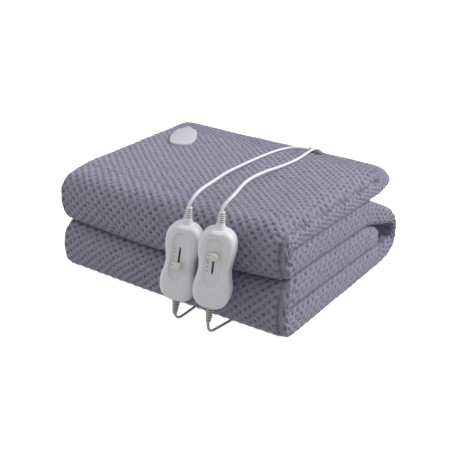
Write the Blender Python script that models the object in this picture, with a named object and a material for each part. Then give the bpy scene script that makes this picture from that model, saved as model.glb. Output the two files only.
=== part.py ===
"""Electric heated blanket, folded for display, with two slide controllers hanging at its front.

Metres, +Z up. X runs along the front folds, Y from the front folds to the back, and the
origin is the middle of the flat underside. The blanket is first folded lengthwise into a
strip of four plies, whose smooth fold is the strip's right edge. The strip is then folded
crosswise into four layers, counted here from the bottom, 0 to 3:
layer 1 (a tongue) - lower front fold - layer 0 - back wrap round the tongue - layer 2 -
upper front fold - layer 3, whose free end lies at the back of the top.
"""

import math
from collections import namedtuple

import bmesh
import bpy
import numpy as np
from mathutils import Matrix, Vector

# ---------------------------------------------------------------- driving dimensions
WIDTH = 0.400  # along the front folds
DEPTH = 0.345  # front folds to back wrap
LAYER = 0.041  # nominal thickness of one layer of the strip
SLIT = 0.002  # gap between layers
FOLD_REACH = 0.034  # a front fold's bulge, from where it starts to bend
WRAP_REACH = 0.066  # the same for the back wrap
WRAP_THICK = 0.030  # the wrap's wall across the middle
WRAP_RIM = 0.011  # the wrap's wall at its right rim, where the fold is stretched
FOLD_RIM = 0.010  # a front fold's wall at its right rim, where the slit runs further forward
TONGUE_END = 0.136  # y of layer 1's free end
TOP_END = 0.155  # y of layer 3's free end
END_ROUND = 0.018  # how far a free end rounds off
FOLD_POWER = 2.4  # superellipse power of the front folds
FOLD_START = -DEPTH / 2 + FOLD_REACH  # y at which they start to bend
LEAVE = 0.020  # how far from a fold the next layer's stations start
WRAP_POWER_LOW, WRAP_POWER_HIGH = 3.0, 2.1  # superellipse powers of the wrap's lower and upper half
EDGE_POWER, END_POWER = 3.0, 2.2  # powers with which the right edge and a free end round off
CORNER_POWER, CORNER_POWER_LEFT = 4.0, 8.0  # the same for the corners, seen from above
RIGHT_ROUND = 0.012  # how far the right, folded edge rounds off
SHOULDER_ACROSS, SHOULDER_DOWN = 0.030, 0.018  # soft shoulder along the top layer's right edge
LEFT_ACROSS, LEFT_DOWN = 0.028, 0.007  # the same at its front left corner
LEFT_BACK, LEFT_FRONT = -0.110, -0.170  # y over which that comes in
LEFT_IN = 0.0035  # how much further in the left end lies at the top
FOLD_CORNER = 0.006  # how far a front fold's right corner is rounded back
END_CORNER, END_CORNER_IN = 0.020, 0.005  # how far a free end's right corner is rounded, back and in
END_CORNER_LEFT = 0.014  # how far its left corner is rounded back
SAG = 0.026  # how far the wrap has sunk at its back, right of the leads
SAG_FRONT, SAG_BACK = 0.060, 0.145  # y over which it comes to that
SAG_LEFT, SAG_RIGHT = 0.080, 0.150  # x over which it comes to that
FOLD_DROP_LEFT, FOLD_DROP_RIGHT = 0.003, 0.006  # how far the upper front fold hangs over the lower one
PLIES = 4
PLY_GROOVE = 0.005  # depth of the groove between two ply edges

# Heights of the tops of the layers at the stack's corners and mid width, from the photograph's lines.
# columns: front left, front middle, front right, back left, back middle, back right
LAYER_TOPS = (
    (0.039, 0.038, 0.0445, 0.038, 0.037, 0.037),
    (0.082, 0.078, 0.0940, 0.077, 0.077, 0.080),
    (0.122, 0.120, 0.1335, 0.119, 0.120, 0.1245),
    (0.161, 0.161, 0.1710, 0.157, 0.156, 0.156),
)

LEAD_D = 0.0046  # low-voltage lead from the blanket to a controller
MAINS_D = 0.0036  # lead from a controller to its plug
TOUCH = 0.0003  # clearance between pieces that touch

# columns: centre of the back face x, y, z; turn to the right, roll to the right (degrees);
# slider's place on its track
CONTROLLERS = {
    "left": (0.0480, -0.1842, 0.0949, 17.0, 7.3, 0.0),
    "right": (0.1045, -0.1862, 0.1027, 21.0, 6.0, 1.0),
}
HOUSING_HALF = 0.0574  # half of a housing's length, without its neck
HOUSING_THICK = 0.026
HOUSING_AXIS = -0.012  # how far out of the back face the leads enter
HOUSING_UPPER, HOUSING_LOWER = 0.0254, 0.0260  # half widths of the two lobes
HOUSING_WAIST = 0.0216  # half width at the waist
HOUSING_END = 0.0270  # length of a lobe's round end
HOUSING_POWER = 2.2  # superellipse power of a lobe's end, 2 for an oval
HOUSING_FLAT = 0.0006  # how much of each end is cut off flat
NECK_LONG = 0.0061
# The neck where the upper lead enters: height over the housing's end, half width, half thickness
NECK = (
    (-0.0070, 0.0125, 0.0098), (0.0, 0.0119, 0.0096), (0.0020, 0.0110, 0.0091), (0.0040, 0.0096, 0.0082),
    (0.0054, 0.0080, 0.0072), (NECK_LONG, 0.0066, 0.0064),
)
HOUSING_LEAN = 4.5  # degrees, the lower end standing forward
DISH_TOP, DISH_BOTTOM = 0.0462, -0.0255  # ends of the dished area, along the housing
DISH_HALF_TOP, DISH_HALF_BOTTOM = 0.0104, 0.0136
DISH_POWER = 2.6  # superellipse power of its outline
DISH_DEEP = 0.0012
DISH_SLOPE = 0.0016  # width of the slope down into the dish
SLOT_X = -0.0008
SLOT_WIDE = 0.0024
TRACK_LOW, TRACK_HIGH = -0.0015, 0.0218  # the slider's lowest and highest place
STEM_LONG = 0.005
STEM_WIDE = 0.0017
STEM_DEEP = 0.004
TAB_LEFT, TAB_RIGHT, TAB_HALF, TAB_DROP = -0.0110, 0.0056, 0.0052, 0.0020  # the slider's flat tab
TAB_ROUND = (0.72, 0.90)  # exponents of its outline, across and along
KNOB_R, KNOB_X = 0.0052, 0.0006
RELIEF_UP_LONG = 0.0165
RELIEF_DOWN_LONG = 0.0235
RELIEF_RIBS = 6

# Route of each lead from its upper strain relief to the back: x, y, height of its axis, or None
# where it lies on the cloth
LEAD_ROUTES = {
    "left": (
        (0.0612, -0.1805, 0.1862),
        (0.0614, -0.1715, 0.1905),
        (0.0602, -0.1590, 0.1924),
        (0.0560, -0.1361, 0.1910),
        (0.0446, -0.0984, 0.1852),
        (0.0329, -0.0598, 0.1785),
        (0.0197, -0.0095, 0.1688),
        (0.0120, 0.0316, 0.1623),
        (0.0116, 0.0643, None),
        (0.0163, 0.0980, None),
        (0.0243, 0.1200, None),
        (0.0338, 0.1300, None),
        (0.0480, 0.1350, None),
    ),
    "right": (
        (0.1162, -0.1826, 0.1935),
        (0.1176, -0.1740, 0.1978),
        (0.1166, -0.1605, 0.2006),
        (0.1097, -0.1366, 0.2008),
        (0.0992, -0.1018, 0.1965),
        (0.0880, -0.0647, 0.1880),
        (0.0743, -0.0173, 0.1760),
        (0.0663, 0.0268, 0.1660),
        (0.0640, 0.0673, 0.1610),
        (0.0637, 0.0941, None),
        (0.0600, 0.1275, None),
        (0.0597, 0.1355, None),
    ),
}
LEAD_OVER = 2.2  # superellipse power of a lead's bend round the top layer's end
GLAND_X = {"left": 0.0600, "right": 0.0740}
GLAND_Y = 0.1180  # the gland's inner end, under layer 3
GLAND_LONG = 0.0160
GLAND_R = 0.0036
END_CLEAR = 0.0010  # extra distance of a lead from the top layer's end, round which it bends

# Mains leads: where each enters and leaves the channel under the stack (x at the front, x at the back)
CHANNELS = {"left": (0.0425, -0.0040), "right": (0.1055, 0.1300)}
CHANNEL_END = 0.010  # how far inside the front and the back of the stack those two places lie
CHANNEL_HIGH = 0.0062
CHANNEL_HALF = 0.0045
FLOOR_CLEAR = 0.0001  # between a mains lead and the floor
MAINS_BEND = 0.0165  # radius in which a mains lead turns back under the stack
COIL_MEAN = 0.0205  # mean radius of a coil's turns
COIL_OUT = COIL_MEAN + MAINS_D  # radius of its outermost turns
COIL_COLUMNS = 3
COIL_ROWS = 4
COIL_BEVEL_LOW, COIL_BEVEL_HIGH = 0.0012, 0.0015  # bevels of its section's corners
COIL_Y = 0.212
TAIL_LONG = 0.020  # from a coil's outermost turn to its plug
TAIL_LEAVE = 0.0142  # how far past the coil's middle the lead comes clear of it
PLUG_WIDE, PLUG_THICK, PLUG_LONG = 0.035, 0.0137, 0.034
PIN_LONG, PIN_R, PIN_APART = 0.019, 0.002, 0.0186

COVER_CENTRE = (-0.1444, 0.0634)
COVER_TURN = 28  # degrees, its point to the back left
COVER_THICK = 0.0042
COVER_CLEAR = 0.0007  # between it and the cloth, which isn't quite flat
# Half of the shield's outline, from its point to its bottom: across, along
COVER_OUTLINE = (
    (0.0000, 0.0545), (0.0115, 0.0387), (0.0145, 0.0377), (0.0172, 0.0310), (0.0200, 0.0200),
    (0.0217, 0.0050), (0.0214, -0.0100), (0.0190, -0.0240), (0.0145, -0.0325), (0.0075, -0.0370),
    (0.0000, -0.0385),
)


# ---------------------------------------------------------------- helpers
def clear_scene():
    for obj in list(bpy.data.objects):
        bpy.data.objects.remove(obj)


def material(name, colour, roughness, metallic=0.0):
    made = bpy.data.materials.new(name)
    made.use_nodes = True
    shader = made.node_tree.nodes["Principled BSDF"]
    shader.inputs["Base Color"].default_value = (*colour, 1.0)
    shader.inputs["Roughness"].default_value = roughness
    shader.inputs["Metallic"].default_value = metallic
    return made


def add_object(name, data, finish):
    obj = bpy.data.objects.new(name, data)
    obj.data.materials.append(finish)
    bpy.context.scene.collection.objects.link(obj)
    return obj


def closed_mesh(name, vertices, faces):
    """A mesh with its faces turned outward."""
    mesh = bpy.data.meshes.new(name)
    mesh.from_pydata([tuple(v) for v in vertices], [], faces)
    bm = bmesh.new()
    bm.from_mesh(mesh)
    bmesh.ops.recalc_face_normals(bm, faces=bm.faces)
    bm.to_mesh(mesh)
    bm.free()
    return mesh


def mesh_object(name, vertices, faces, finish):
    mesh = closed_mesh(name, vertices, faces)
    mesh.shade_smooth()
    mesh.set_sharp_from_angle(angle=math.radians(40))
    return add_object(name, mesh, finish)


def skin_rings(rings):
    """Vertices and faces of a closed body skinned over rings of equal count, with flat ends."""
    count = len(rings[0])
    vertices = [tuple(p) for ring in rings for p in ring]
    faces = []
    for i in range(len(rings) - 1):
        a, b = i * count, (i + 1) * count
        for j in range(count):
            k = (j + 1) % count
            faces.append((a + j, a + k, b + k, b + j))
    faces.append(tuple(range(count)))
    faces.append(tuple((len(rings) - 1) * count + j for j in range(count)))
    return vertices, faces


def box_mesh(name, low, high):
    """A plain box between two corners, for cutters."""
    corners = [(x, y, z) for x in (low[0], high[0]) for y in (low[1], high[1]) for z in (low[2], high[2])]
    faces = [(0, 1, 3, 2), (4, 6, 7, 5), (0, 4, 5, 1), (2, 3, 7, 6), (0, 2, 6, 4), (1, 5, 7, 3)]
    return closed_mesh(name, corners, faces)


def circle(middle, radius, first, second, sides):
    """Points of a circle in the plane of two directions."""
    return [
        middle + radius * (math.cos(a) * first + math.sin(a) * second)
        for a in (2 * math.pi * i / sides for i in range(sides))
    ]


def cutter(name, mesh, matrix=None):
    obj = bpy.data.objects.new(name, mesh)
    bpy.context.scene.collection.objects.link(obj)
    if matrix is not None:
        obj.matrix_world = matrix
    obj.hide_render = True
    obj.display_type = "WIRE"
    return obj


def boolean(obj, other, operation):
    step = obj.modifiers.new(operation.title(), "BOOLEAN")
    step.operation = operation
    step.solver = "EXACT"
    step.object = other


def smooth_route(points, spacing):
    """Points read at an even spacing from a Catmull-Rom curve through the route's own points."""
    p = np.array(points, float)
    ends = np.vstack([2 * p[0] - p[1], p, 2 * p[-1] - p[-2]])
    fine = []
    for i in range(1, len(ends) - 2):
        p0, p1, p2, p3 = ends[i - 1 : i + 3]
        for t in np.linspace(0, 1, 24, endpoint=False):
            fine.append(
                0.5 * (2 * p1 + (p2 - p0) * t + (2 * p0 - 5 * p1 + 4 * p2 - p3) * t**2
                       + (3 * p1 - p0 - 3 * p2 + p3) * t**3)
            )
    fine.append(p[-1])
    fine = np.array(fine)
    along = np.r_[0, np.cumsum(np.linalg.norm(np.diff(fine, axis=0), axis=1))]
    count = max(2, round(along[-1] / spacing) + 1)
    at = np.linspace(0, along[-1], count)
    return np.stack([np.interp(at, along, fine[:, k]) for k in range(3)], axis=1)


def cord(name, points, diameter, finish):
    curve = bpy.data.curves.new(name, "CURVE")
    curve.dimensions = "3D"
    curve.bevel_depth = diameter / 2
    curve.bevel_resolution = 2
    curve.use_fill_caps = True
    spline = curve.splines.new("POLY")
    spline.points.add(len(points) - 1)
    for point, place in zip(spline.points, points):
        point.co = (*place, 1.0)
    return add_object(name, curve, finish)


# ---------------------------------------------------------------- the folded cloth
def level_heights(x, y):
    """Real heights of the floor and the four layers' tops at (x, y): quadratic across, linear to the back."""
    s = 2 * x / WIDTH
    t = np.clip(y / DEPTH + 0.5, 0, 1)
    out = [np.zeros(np.broadcast(s, t).shape)]
    for number, (front_l, front_m, front_r, back_l, back_m, back_r) in enumerate(LAYER_TOPS, 1):
        front = front_m + s * (front_r - front_l) / 2 + s**2 * ((front_r + front_l) / 2 - front_m)
        back = back_m + s * (back_r - back_l) / 2 + s**2 * ((back_r + back_l) / 2 - back_m)
        out.append(front * (1 - t) + back * t)
        if number == 2:
            drop = FOLD_DROP_LEFT + (FOLD_DROP_RIGHT - FOLD_DROP_LEFT) * (s + 1) / 2
            out[-1] = out[-1] - drop * np.clip((FOLD_START - y) / 0.020, 0, 1)
    return np.stack(out)


def smooth_step(value, start, end):
    """0 before start, 1 after end and smooth between."""
    t = np.clip((value - start) / (end - start), 0, 1)
    return t * t * (3 - 2 * t)


def real_height(x, y, nominal):
    """Turns a nominal height, in layers of LAYER, into the real one, smoothly through the layers' tops.

    What lies under layer 3 has sunk at the back right, and layer 3 hasn't.
    """
    heights = level_heights(x, y)
    slope = np.empty_like(heights)
    slope[1:-1] = (heights[2:] - heights[:-2]) / 2
    slope[0] = heights[1] - heights[0]
    slope[-1] = heights[-1] - heights[-2]
    q = np.clip(nominal / LAYER, 0, 4)
    k = np.clip(q.astype(int), 0, 3)
    f = q - k

    def pick(table, index):
        return np.take_along_axis(table, index[None], 0)[0]

    h0, h1 = pick(heights, k), pick(heights, k + 1)
    m0, m1 = pick(slope, k), pick(slope, k + 1)
    z = (
        (2 * f**3 - 3 * f**2 + 1) * h0
        + (f**3 - 2 * f**2 + f) * m0
        + (3 * f**2 - 2 * f**3) * h1
        + (f**3 - f**2) * m1
    )
    sunk = SAG * smooth_step(x, SAG_LEFT, SAG_RIGHT) * smooth_step(y, SAG_FRONT, SAG_BACK)
    return np.where(q < 3, z * (1 - sunk / heights[3]), z)


def top_height(x, y):
    """Height of the cloth's top surface."""
    return float(level_heights(np.array(x), np.array(y))[4])


def superellipse(turn, reach, half, power):
    """Reach and height on a bulge, for turn from -1 (bottom) through 0 (its furthest) to 1 (top)."""
    angle = turn * math.pi / 2
    out = reach * abs(math.cos(angle)) ** (2 / power)
    return out, half * math.copysign(abs(math.sin(angle)) ** (2 / power), turn)


Station = namedtuple("Station", "y_a z_a y_b z_b bend rim_a rim_b shoulder")


def strip_stations(straight, fold, wrap):
    """The strip's two sides, A and B, station by station from the tongue's end to the top's end.

    A is the side that shows on the lower front fold, the wrap and layer 2's top. bend says how
    far the station is into a fold, 0 to 1. rim_a and rim_b move that side's y at the right rim.
    """
    front, back = FOLD_START, DEPTH / 2 - WRAP_REACH
    gap = SLIT / 2
    rim_front = FOLD_REACH - gap - FOLD_RIM
    rows = []

    def layer(start, end, side_a, side_b, steps, shoulder=0.0):
        for i in range(steps):
            y = start + (end - start) * i / steps
            rows.append(Station(y, side_a, y, side_b, 0.0, 0.0, 0.0, shoulder))

    layer(TONGUE_END, front, 2 * LAYER - gap, LAYER + gap, straight)  # layer 1, the tongue
    for i in range(fold + 1):  # lower front fold, from the top down
        turn = 1 - 2 * i / fold
        out, up = superellipse(turn, FOLD_REACH, LAYER - gap / 2, FOLD_POWER)
        near, rise = superellipse(turn, gap, gap, 2)
        bend = math.cos(turn * math.pi / 2)
        high, low = LAYER - gap / 2 + up, LAYER + rise
        rows.append(Station(front - out, high, front - near, low, bend, 0.0, -bend * rim_front, 0.0))
    layer(front + LEAVE, back, 0.0, LAYER - gap, straight)
    for i in range(wrap + 1):  # back wrap, from the bottom up
        turn = -1 + 2 * i / wrap
        power = WRAP_POWER_HIGH if turn > 0 else WRAP_POWER_LOW
        half = (3 * LAYER - gap) / 2
        out, up = superellipse(turn, WRAP_REACH, half, power)
        near, rise = superellipse(turn, WRAP_REACH - WRAP_THICK, LAYER / 2 + gap, WRAP_POWER_LOW)
        bend = math.cos(turn * math.pi / 2)
        rim = bend * (WRAP_THICK - WRAP_RIM)
        rows.append(Station(back + out, half + up, back + near, 1.5 * LAYER + rise, bend, 0.0, rim, 0.0))
    layer(back - LEAVE, front, 3 * LAYER - gap, 2 * LAYER + gap, straight)
    for i in range(fold + 1):  # upper front fold, from the bottom up
        turn = -1 + 2 * i / fold
        out, up = superellipse(turn, FOLD_REACH, LAYER - gap / 2, FOLD_POWER)
        near, rise = superellipse(turn, gap, gap, 2)
        bend = math.cos(turn * math.pi / 2)
        low, high, shoulder = 3 * LAYER + rise, 3 * LAYER + gap / 2 + up, max(0.0, turn)
        rows.append(Station(front - near, low, front - out, high, bend, -bend * rim_front, 0.0, shoulder))
    layer(front + LEAVE, TOP_END, 3 * LAYER + gap, 4 * LAYER, straight, 1.0)
    rows.append(Station(TOP_END, 3 * LAYER + gap, TOP_END, 4 * LAYER, 0.0, 0.0, 0.0, 1.0))
    return rows


def ply_profile(w):
    """1 on a ply's crown and 0 in the groove between two plies; the last two plies are one small fold."""
    place = (w + 1) / 2 * PLIES
    crown = math.sqrt(max(0.0, 1 - (2 * (place - math.floor(min(place, PLIES - 1e-6))) - 1) ** 2))
    return max(crown, 0.75) if abs(w - 0.5) < 0.2 else crown


def rounded(w, power):
    """0 at the middle of an edge and 1 at its two borders."""
    return 1 - (1 - min(1.0, abs(w)) ** power) ** (1 / power)


def shoulder(v, across):
    """0 until the last part of the width, across wide, and then a quarter circle down to 1."""
    reach = 2 * across / WIDTH
    edge = min(1.0, max(0.0, (v - 1 + reach) / reach))
    return 1 - math.sqrt(1 - edge**2)


def strip_point(row, v, w, end):
    """A point of the strip: v across from -1 (left) to 1 (right), w through it from -1 (A) to 1 (B).

    end is -1 at the tongue's end, 1 at the top layer's, and 0 elsewhere.
    """
    rim = max(0.0, (v - 0.4) / 0.6) ** 2
    y_a, y_b = row.y_a + row.rim_a * rim, row.y_b + row.rim_b * rim
    front = float(smooth_step(-row.y_b, -LEFT_BACK, -LEFT_FRONT))
    drop = SHOULDER_DOWN * shoulder(v, SHOULDER_ACROSS) + LEFT_DOWN * front * shoulder(-v, LEFT_ACROSS)
    z_b = row.z_b - row.shoulder * drop
    mix = (w + 1) / 2
    y = y_a * (1 - mix) + y_b * mix
    z = row.z_a * (1 - mix) + z_b * mix
    right = WIDTH / 2 - RIGHT_ROUND * rounded(w, EDGE_POWER)
    left = -WIDTH / 2 + PLY_GROOVE * (1 - ply_profile(w)) + LEFT_IN * max(0.0, z / (2 * LAYER) - 1)
    if y < 0:
        y += FOLD_CORNER * row.bend * rounded(max(0.0, v), CORNER_POWER)
    if end:
        fade = 1 - max(0.0, v) ** 4
        right -= END_CORNER_IN
        y -= END_ROUND * rounded(w, END_POWER) + PLY_GROOVE * (1 - ply_profile(w)) * fade
        corner, power = (END_CORNER, CORNER_POWER) if v > 0 else (END_CORNER_LEFT, CORNER_POWER_LEFT)
        y -= corner * rounded(v, power)
    x = left + (right - left) * (v + 1) / 2
    return x, y, z


def grid_surface(rows, across, through):
    """Vertices and faces of the strip's outer surface, a bent box of stations x across x through."""
    index = {}
    vertices = []
    last = len(rows) - 1

    def corner(i, j, k):
        key = (i, j, k)
        if key not in index:
            index[key] = len(vertices)
            end = -1 if i == 0 else 1 if i == last else 0
            vertices.append(strip_point(rows[i], across[j], through[k], end))
        return index[key]

    faces = []

    def patch(a_count, b_count, place):
        for a in range(a_count - 1):
            for b in range(b_count - 1):
                faces.append((place(a, b), place(a + 1, b), place(a + 1, b + 1), place(a, b + 1)))

    stations, columns, depth = len(rows), len(across), len(through)
    patch(stations, columns, lambda a, b: corner(a, b, 0))
    patch(stations, columns, lambda a, b: corner(a, b, depth - 1))
    patch(stations, depth, lambda a, b: corner(a, 0, b))
    patch(stations, depth, lambda a, b: corner(a, columns - 1, b))
    patch(columns, depth, lambda a, b: corner(0, a, b))
    patch(columns, depth, lambda a, b: corner(last, a, b))
    points = np.array(vertices)
    points[:, 2] = real_height(points[:, 0], points[:, 1], points[:, 2])
    return points, faces


def make_blanket(finish):
    rows = strip_stations(straight=5, fold=10, wrap=12)
    across = [-1, -0.97, -0.91, -0.75, -0.45, -0.15, 0.15, 0.4, 0.6, 0.75, 0.86, 0.93, 0.98, 1]
    through = [-1 + 2 * (ply + f) / PLIES for ply in range(PLIES) for f in (0, 0.22, 0.78)] + [1]
    points, faces = grid_surface(rows, across, through)
    blanket = mesh_object("blanket", points, faces, finish)
    for side, (front_x, back_x) in CHANNELS.items():
        slope = math.atan2(front_x - back_x, DEPTH - 2 * CHANNEL_END)
        mesh = box_mesh(
            f"channel_{side}", (-CHANNEL_HALF, -DEPTH, -0.02), (CHANNEL_HALF, DEPTH, CHANNEL_HIGH)
        )
        middle = Matrix.Translation(((front_x + back_x) / 2, 0, 0)) @ Matrix.Rotation(slope, 4, "Z")
        boolean(blanket, cutter(f"channel_{side}", mesh, middle), "DIFFERENCE")
        boolean(blanket, gland_pocket(side), "DIFFERENCE")
    return blanket


def gland_pocket(side):
    """Cutter for the pocket between two layers that holds a lead's gland."""
    x, z = GLAND_X[side], gland_height(side)
    radius = GLAND_R + 2 * TOUCH
    ends = (GLAND_Y - 2 * TOUCH, GLAND_Y + GLAND_LONG + 0.010)
    rings = [circle(Vector((x, y, z)), radius, Vector((1, 0, 0)), Vector((0, 0, 1)), 12) for y in ends]
    return cutter(f"pocket_{side}", closed_mesh(f"pocket_{side}", *skin_rings(rings)))


# ---------------------------------------------------------------- controllers
def housing_frame(side):
    """Local frame of a housing: x across, y into the cloth from the back face, z along its length."""
    x, y, z, turn, roll, _ = CONTROLLERS[side]
    return (
        Matrix.Translation((x, y, z))
        @ Matrix.Rotation(math.radians(turn), 4, "Z")
        @ Matrix.Rotation(math.radians(-HOUSING_LEAN), 4, "X")
        @ Matrix.Rotation(math.radians(roll), 4, "Y")
    )


def peanut(inset, points):
    """The housing's outline, in from its edge by inset, with a short flat where each lead enters."""
    ring = []
    for i in range(points):
        angle = 2 * math.pi * i / points
        c, s = math.cos(angle), math.sin(angle)
        z = max(-HOUSING_HALF, min(HOUSING_HALF, (HOUSING_HALF + HOUSING_FLAT) * s))
        share = 1 - inset / half_width(z) if abs(z) < HOUSING_HALF - HOUSING_END else 1 - inset / HOUSING_END
        x = half_width(z) * share
        ring.append((math.copysign(x, c), z * (1 - inset / HOUSING_HALF)))
    return ring


def half_width(z):
    """The housing's half width at a height: two lobes with round ends and a waist between."""
    lobe = HOUSING_UPPER if z > 0 else HOUSING_LOWER
    straight = HOUSING_HALF - HOUSING_END
    if abs(z) < straight:
        return lobe - (lobe - HOUSING_WAIST) * (0.5 + 0.5 * math.cos(math.pi * z / straight))
    into = (abs(z) - straight) / (HOUSING_END + HOUSING_FLAT)
    return lobe * (1 - into**HOUSING_POWER) ** (1 / HOUSING_POWER)


def dish(inset, points):
    """The dished area's outline: rounded ends, a little wider at the bottom."""
    ring = []
    middle, half = (DISH_TOP + DISH_BOTTOM) / 2, (DISH_TOP - DISH_BOTTOM) / 2 - inset
    for i in range(points):
        angle = 2 * math.pi * i / points
        c, s = math.cos(angle), math.sin(angle)
        z = half * math.copysign(abs(s) ** (2 / DISH_POWER), s)
        wide = (DISH_HALF_TOP + DISH_HALF_BOTTOM) / 2 - (DISH_HALF_BOTTOM - DISH_HALF_TOP) / 2 * z / half
        x = SLOT_X + (wide - inset) * math.copysign(abs(c) ** (2 / DISH_POWER), c)
        ring.append((x, middle + z))
    return ring


def make_housing(side, finish):
    count = 36
    # columns: inset, distance out of the back face
    profile = ((0.0050, 0.0), (0.0018, 0.0012), (0.0, 0.0045), (0.0, 0.0165), (0.0007, 0.0205),
               (0.0022, 0.0233), (0.0045, 0.0251), (0.0072, 0.0258))
    rings = [[(x, -out, z) for x, z in peanut(inset, count)] for inset, out in profile]
    rings.append([(x, -HOUSING_THICK, z) for x, z in dish(0.0, count)])
    rings.append([(x, -HOUSING_THICK + DISH_DEEP, z) for x, z in dish(DISH_SLOPE, count)])
    housing = mesh_object(f"controller_{side}", *skin_rings(rings), finish)
    housing.matrix_world = housing_frame(side)
    low = (SLOT_X - SLOT_WIDE / 2, -HOUSING_THICK - 0.004, TRACK_LOW - STEM_LONG / 2 - TOUCH)
    high = (
        SLOT_X + SLOT_WIDE / 2,
        -HOUSING_THICK + DISH_DEEP + STEM_DEEP + 0.001,
        TRACK_HIGH + STEM_LONG / 2 + TOUCH,
    )
    slot = cutter(f"slot_{side}", box_mesh(f"slot_{side}", low, high), housing_frame(side))
    boolean(housing, slot, "DIFFERENCE")
    neck = []
    for up, wide, thick in NECK:
        across, through = Vector((wide, 0, 0)), Vector((0, thick, 0))
        neck.append(circle(Vector((0, HOUSING_AXIS, HOUSING_HALF + up)), 1, across, through, 20))
    neck = closed_mesh(f"neck_{side}", *skin_rings(neck))
    boolean(housing, cutter(f"neck_{side}", neck, housing_frame(side)), "UNION")
    return housing


def tab_outline(inset):
    """The slider's flat tab, with round ends."""
    middle, half = (TAB_LEFT + TAB_RIGHT) / 2, (TAB_RIGHT - TAB_LEFT) / 2 - inset
    ring = []
    for i in range(24):
        angle = 2 * math.pi * i / 24
        c, s = math.cos(angle), math.sin(angle)
        x = middle + half * math.copysign(abs(c) ** TAB_ROUND[0], c)
        ring.append((x, (TAB_HALF - inset) * math.copysign(abs(s) ** TAB_ROUND[1], s) - TAB_DROP))
    return ring


def make_slider(side, finish):
    """A flat tab with a round finger knob over the slot, and a stem in the slot, as one piece."""
    floor = -HOUSING_THICK + DISH_DEEP - TOUCH
    # columns: inset, distance out of the dish's floor
    tab = ((0.0004, 0.0), (0.0, 0.0004), (0.0, 0.0011), (0.0006, 0.0016))
    rings = [[(x, floor - out, z) for x, z in tab_outline(inset)] for inset, out in tab]
    place = TRACK_LOW + (TRACK_HIGH - TRACK_LOW) * CONTROLLERS[side][5]
    frame = housing_frame(side) @ Matrix.Translation((0, 0, place))
    slider = mesh_object(f"slider_{side}", *skin_rings(rings), finish)
    slider.matrix_world = frame

    # columns: inset from the knob's radius, distance out of the dish's floor
    knob = ((0.0, 0.0010), (0.0, 0.0040), (0.0005, 0.0052), (0.0016, 0.0061), (0.0033, 0.0066))
    rings = [
        circle(Vector((KNOB_X, floor - out, 0)), KNOB_R - inset, Vector((1, 0, 0)), Vector((0, 0, 1)), 20)
        for inset, out in knob
    ]
    boolean(slider, cutter(f"knob_{side}", closed_mesh(f"knob_{side}", *skin_rings(rings)), frame), "UNION")
    stem = box_mesh(
        f"stem_{side}",
        (SLOT_X - STEM_WIDE / 2, floor - 0.0008, -STEM_LONG / 2),
        (SLOT_X + STEM_WIDE / 2, floor + STEM_DEEP, STEM_LONG / 2),
    )
    boolean(slider, cutter(f"stem_{side}", stem, frame), "UNION")
    return slider


def tapered_tube(name, path, radii, finish, sides=14):
    """A round body along a path with a radius at each of its points."""
    path = [Vector(p) for p in path]
    rings = []
    normal = None
    for i, (place, radius) in enumerate(zip(path, radii)):
        ahead = path[min(i + 1, len(path) - 1)] - path[max(i - 1, 0)]
        ahead.normalize()
        if normal is None:
            normal = ahead.orthogonal().normalized()
        normal = (normal - ahead * normal.dot(ahead)).normalized()
        rings.append(circle(place, radius, normal, ahead.cross(normal), sides))
    return mesh_object(name, *skin_rings(rings), finish)


def ribbed_radii(count, start, end, groove):
    """Radii from start to end, with a groove at every other step."""
    return [
        start + (end - start) * i / (count - 1) - (groove if i % 2 else 0.0) for i in range(count)
    ]


def upper_exit(side):
    """Where the lead leaves the upper strain relief, and its direction."""
    frame = housing_frame(side)
    base = frame @ Vector((0, HOUSING_AXIS, HOUSING_HALF + NECK_LONG + TOUCH))
    up = (frame.to_3x3() @ Vector((0, 0, 1))).normalized()
    return base, up


def make_upper_relief(side, finish):
    base, up = upper_exit(side)
    count = 2 * RELIEF_RIBS + 1
    path = [base + up * (RELIEF_UP_LONG * i / (count - 1)) for i in range(count)]
    return tapered_tube(f"upper_relief_{side}", path, ribbed_radii(count, 0.0058, 0.0042, 0.0005), finish)


def mains_route(side):
    """The mains lead from the housing's lower end to the coil, as its own route points."""
    frame = housing_frame(side)
    base = frame @ Vector((0, HOUSING_AXIS, -HOUSING_HALF - TOUCH))
    down = (frame.to_3x3() @ Vector((0, 0, -1))).normalized()
    front_x, back_x = CHANNELS[side]
    floor = MAINS_D / 2 + FLOOR_CLEAR
    straight = (base.z - floor - MAINS_BEND) / -down.z
    start = base + down * straight
    slope = (back_x - front_x) / (DEPTH - 2 * CHANNEL_END)

    def run_x(y):
        return front_x + slope * (y + DEPTH / 2 - CHANNEL_END)

    foot = start.x + down.x * MAINS_BEND
    points = [tuple(base), tuple(base + down * straight / 2), tuple(start)]
    for turn in (22.5, 45, 67.5, 90):
        a = math.radians(turn)
        x = start.x + (foot - start.x) * math.sin(a)
        points.append((x, start.y + MAINS_BEND * (1 - math.cos(a)), floor + MAINS_BEND * (1 - math.sin(a))))
    for y in (-0.152, -0.110, -0.060, 0.0, 0.060, 0.120, 0.160):
        points.append((run_x(y), y, floor))
    points.append((coil_x(side) + COIL_OUT, COIL_Y - 0.026, floor))
    return points


def coil_x(side):
    return CHANNELS[side][1] - COIL_OUT


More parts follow.
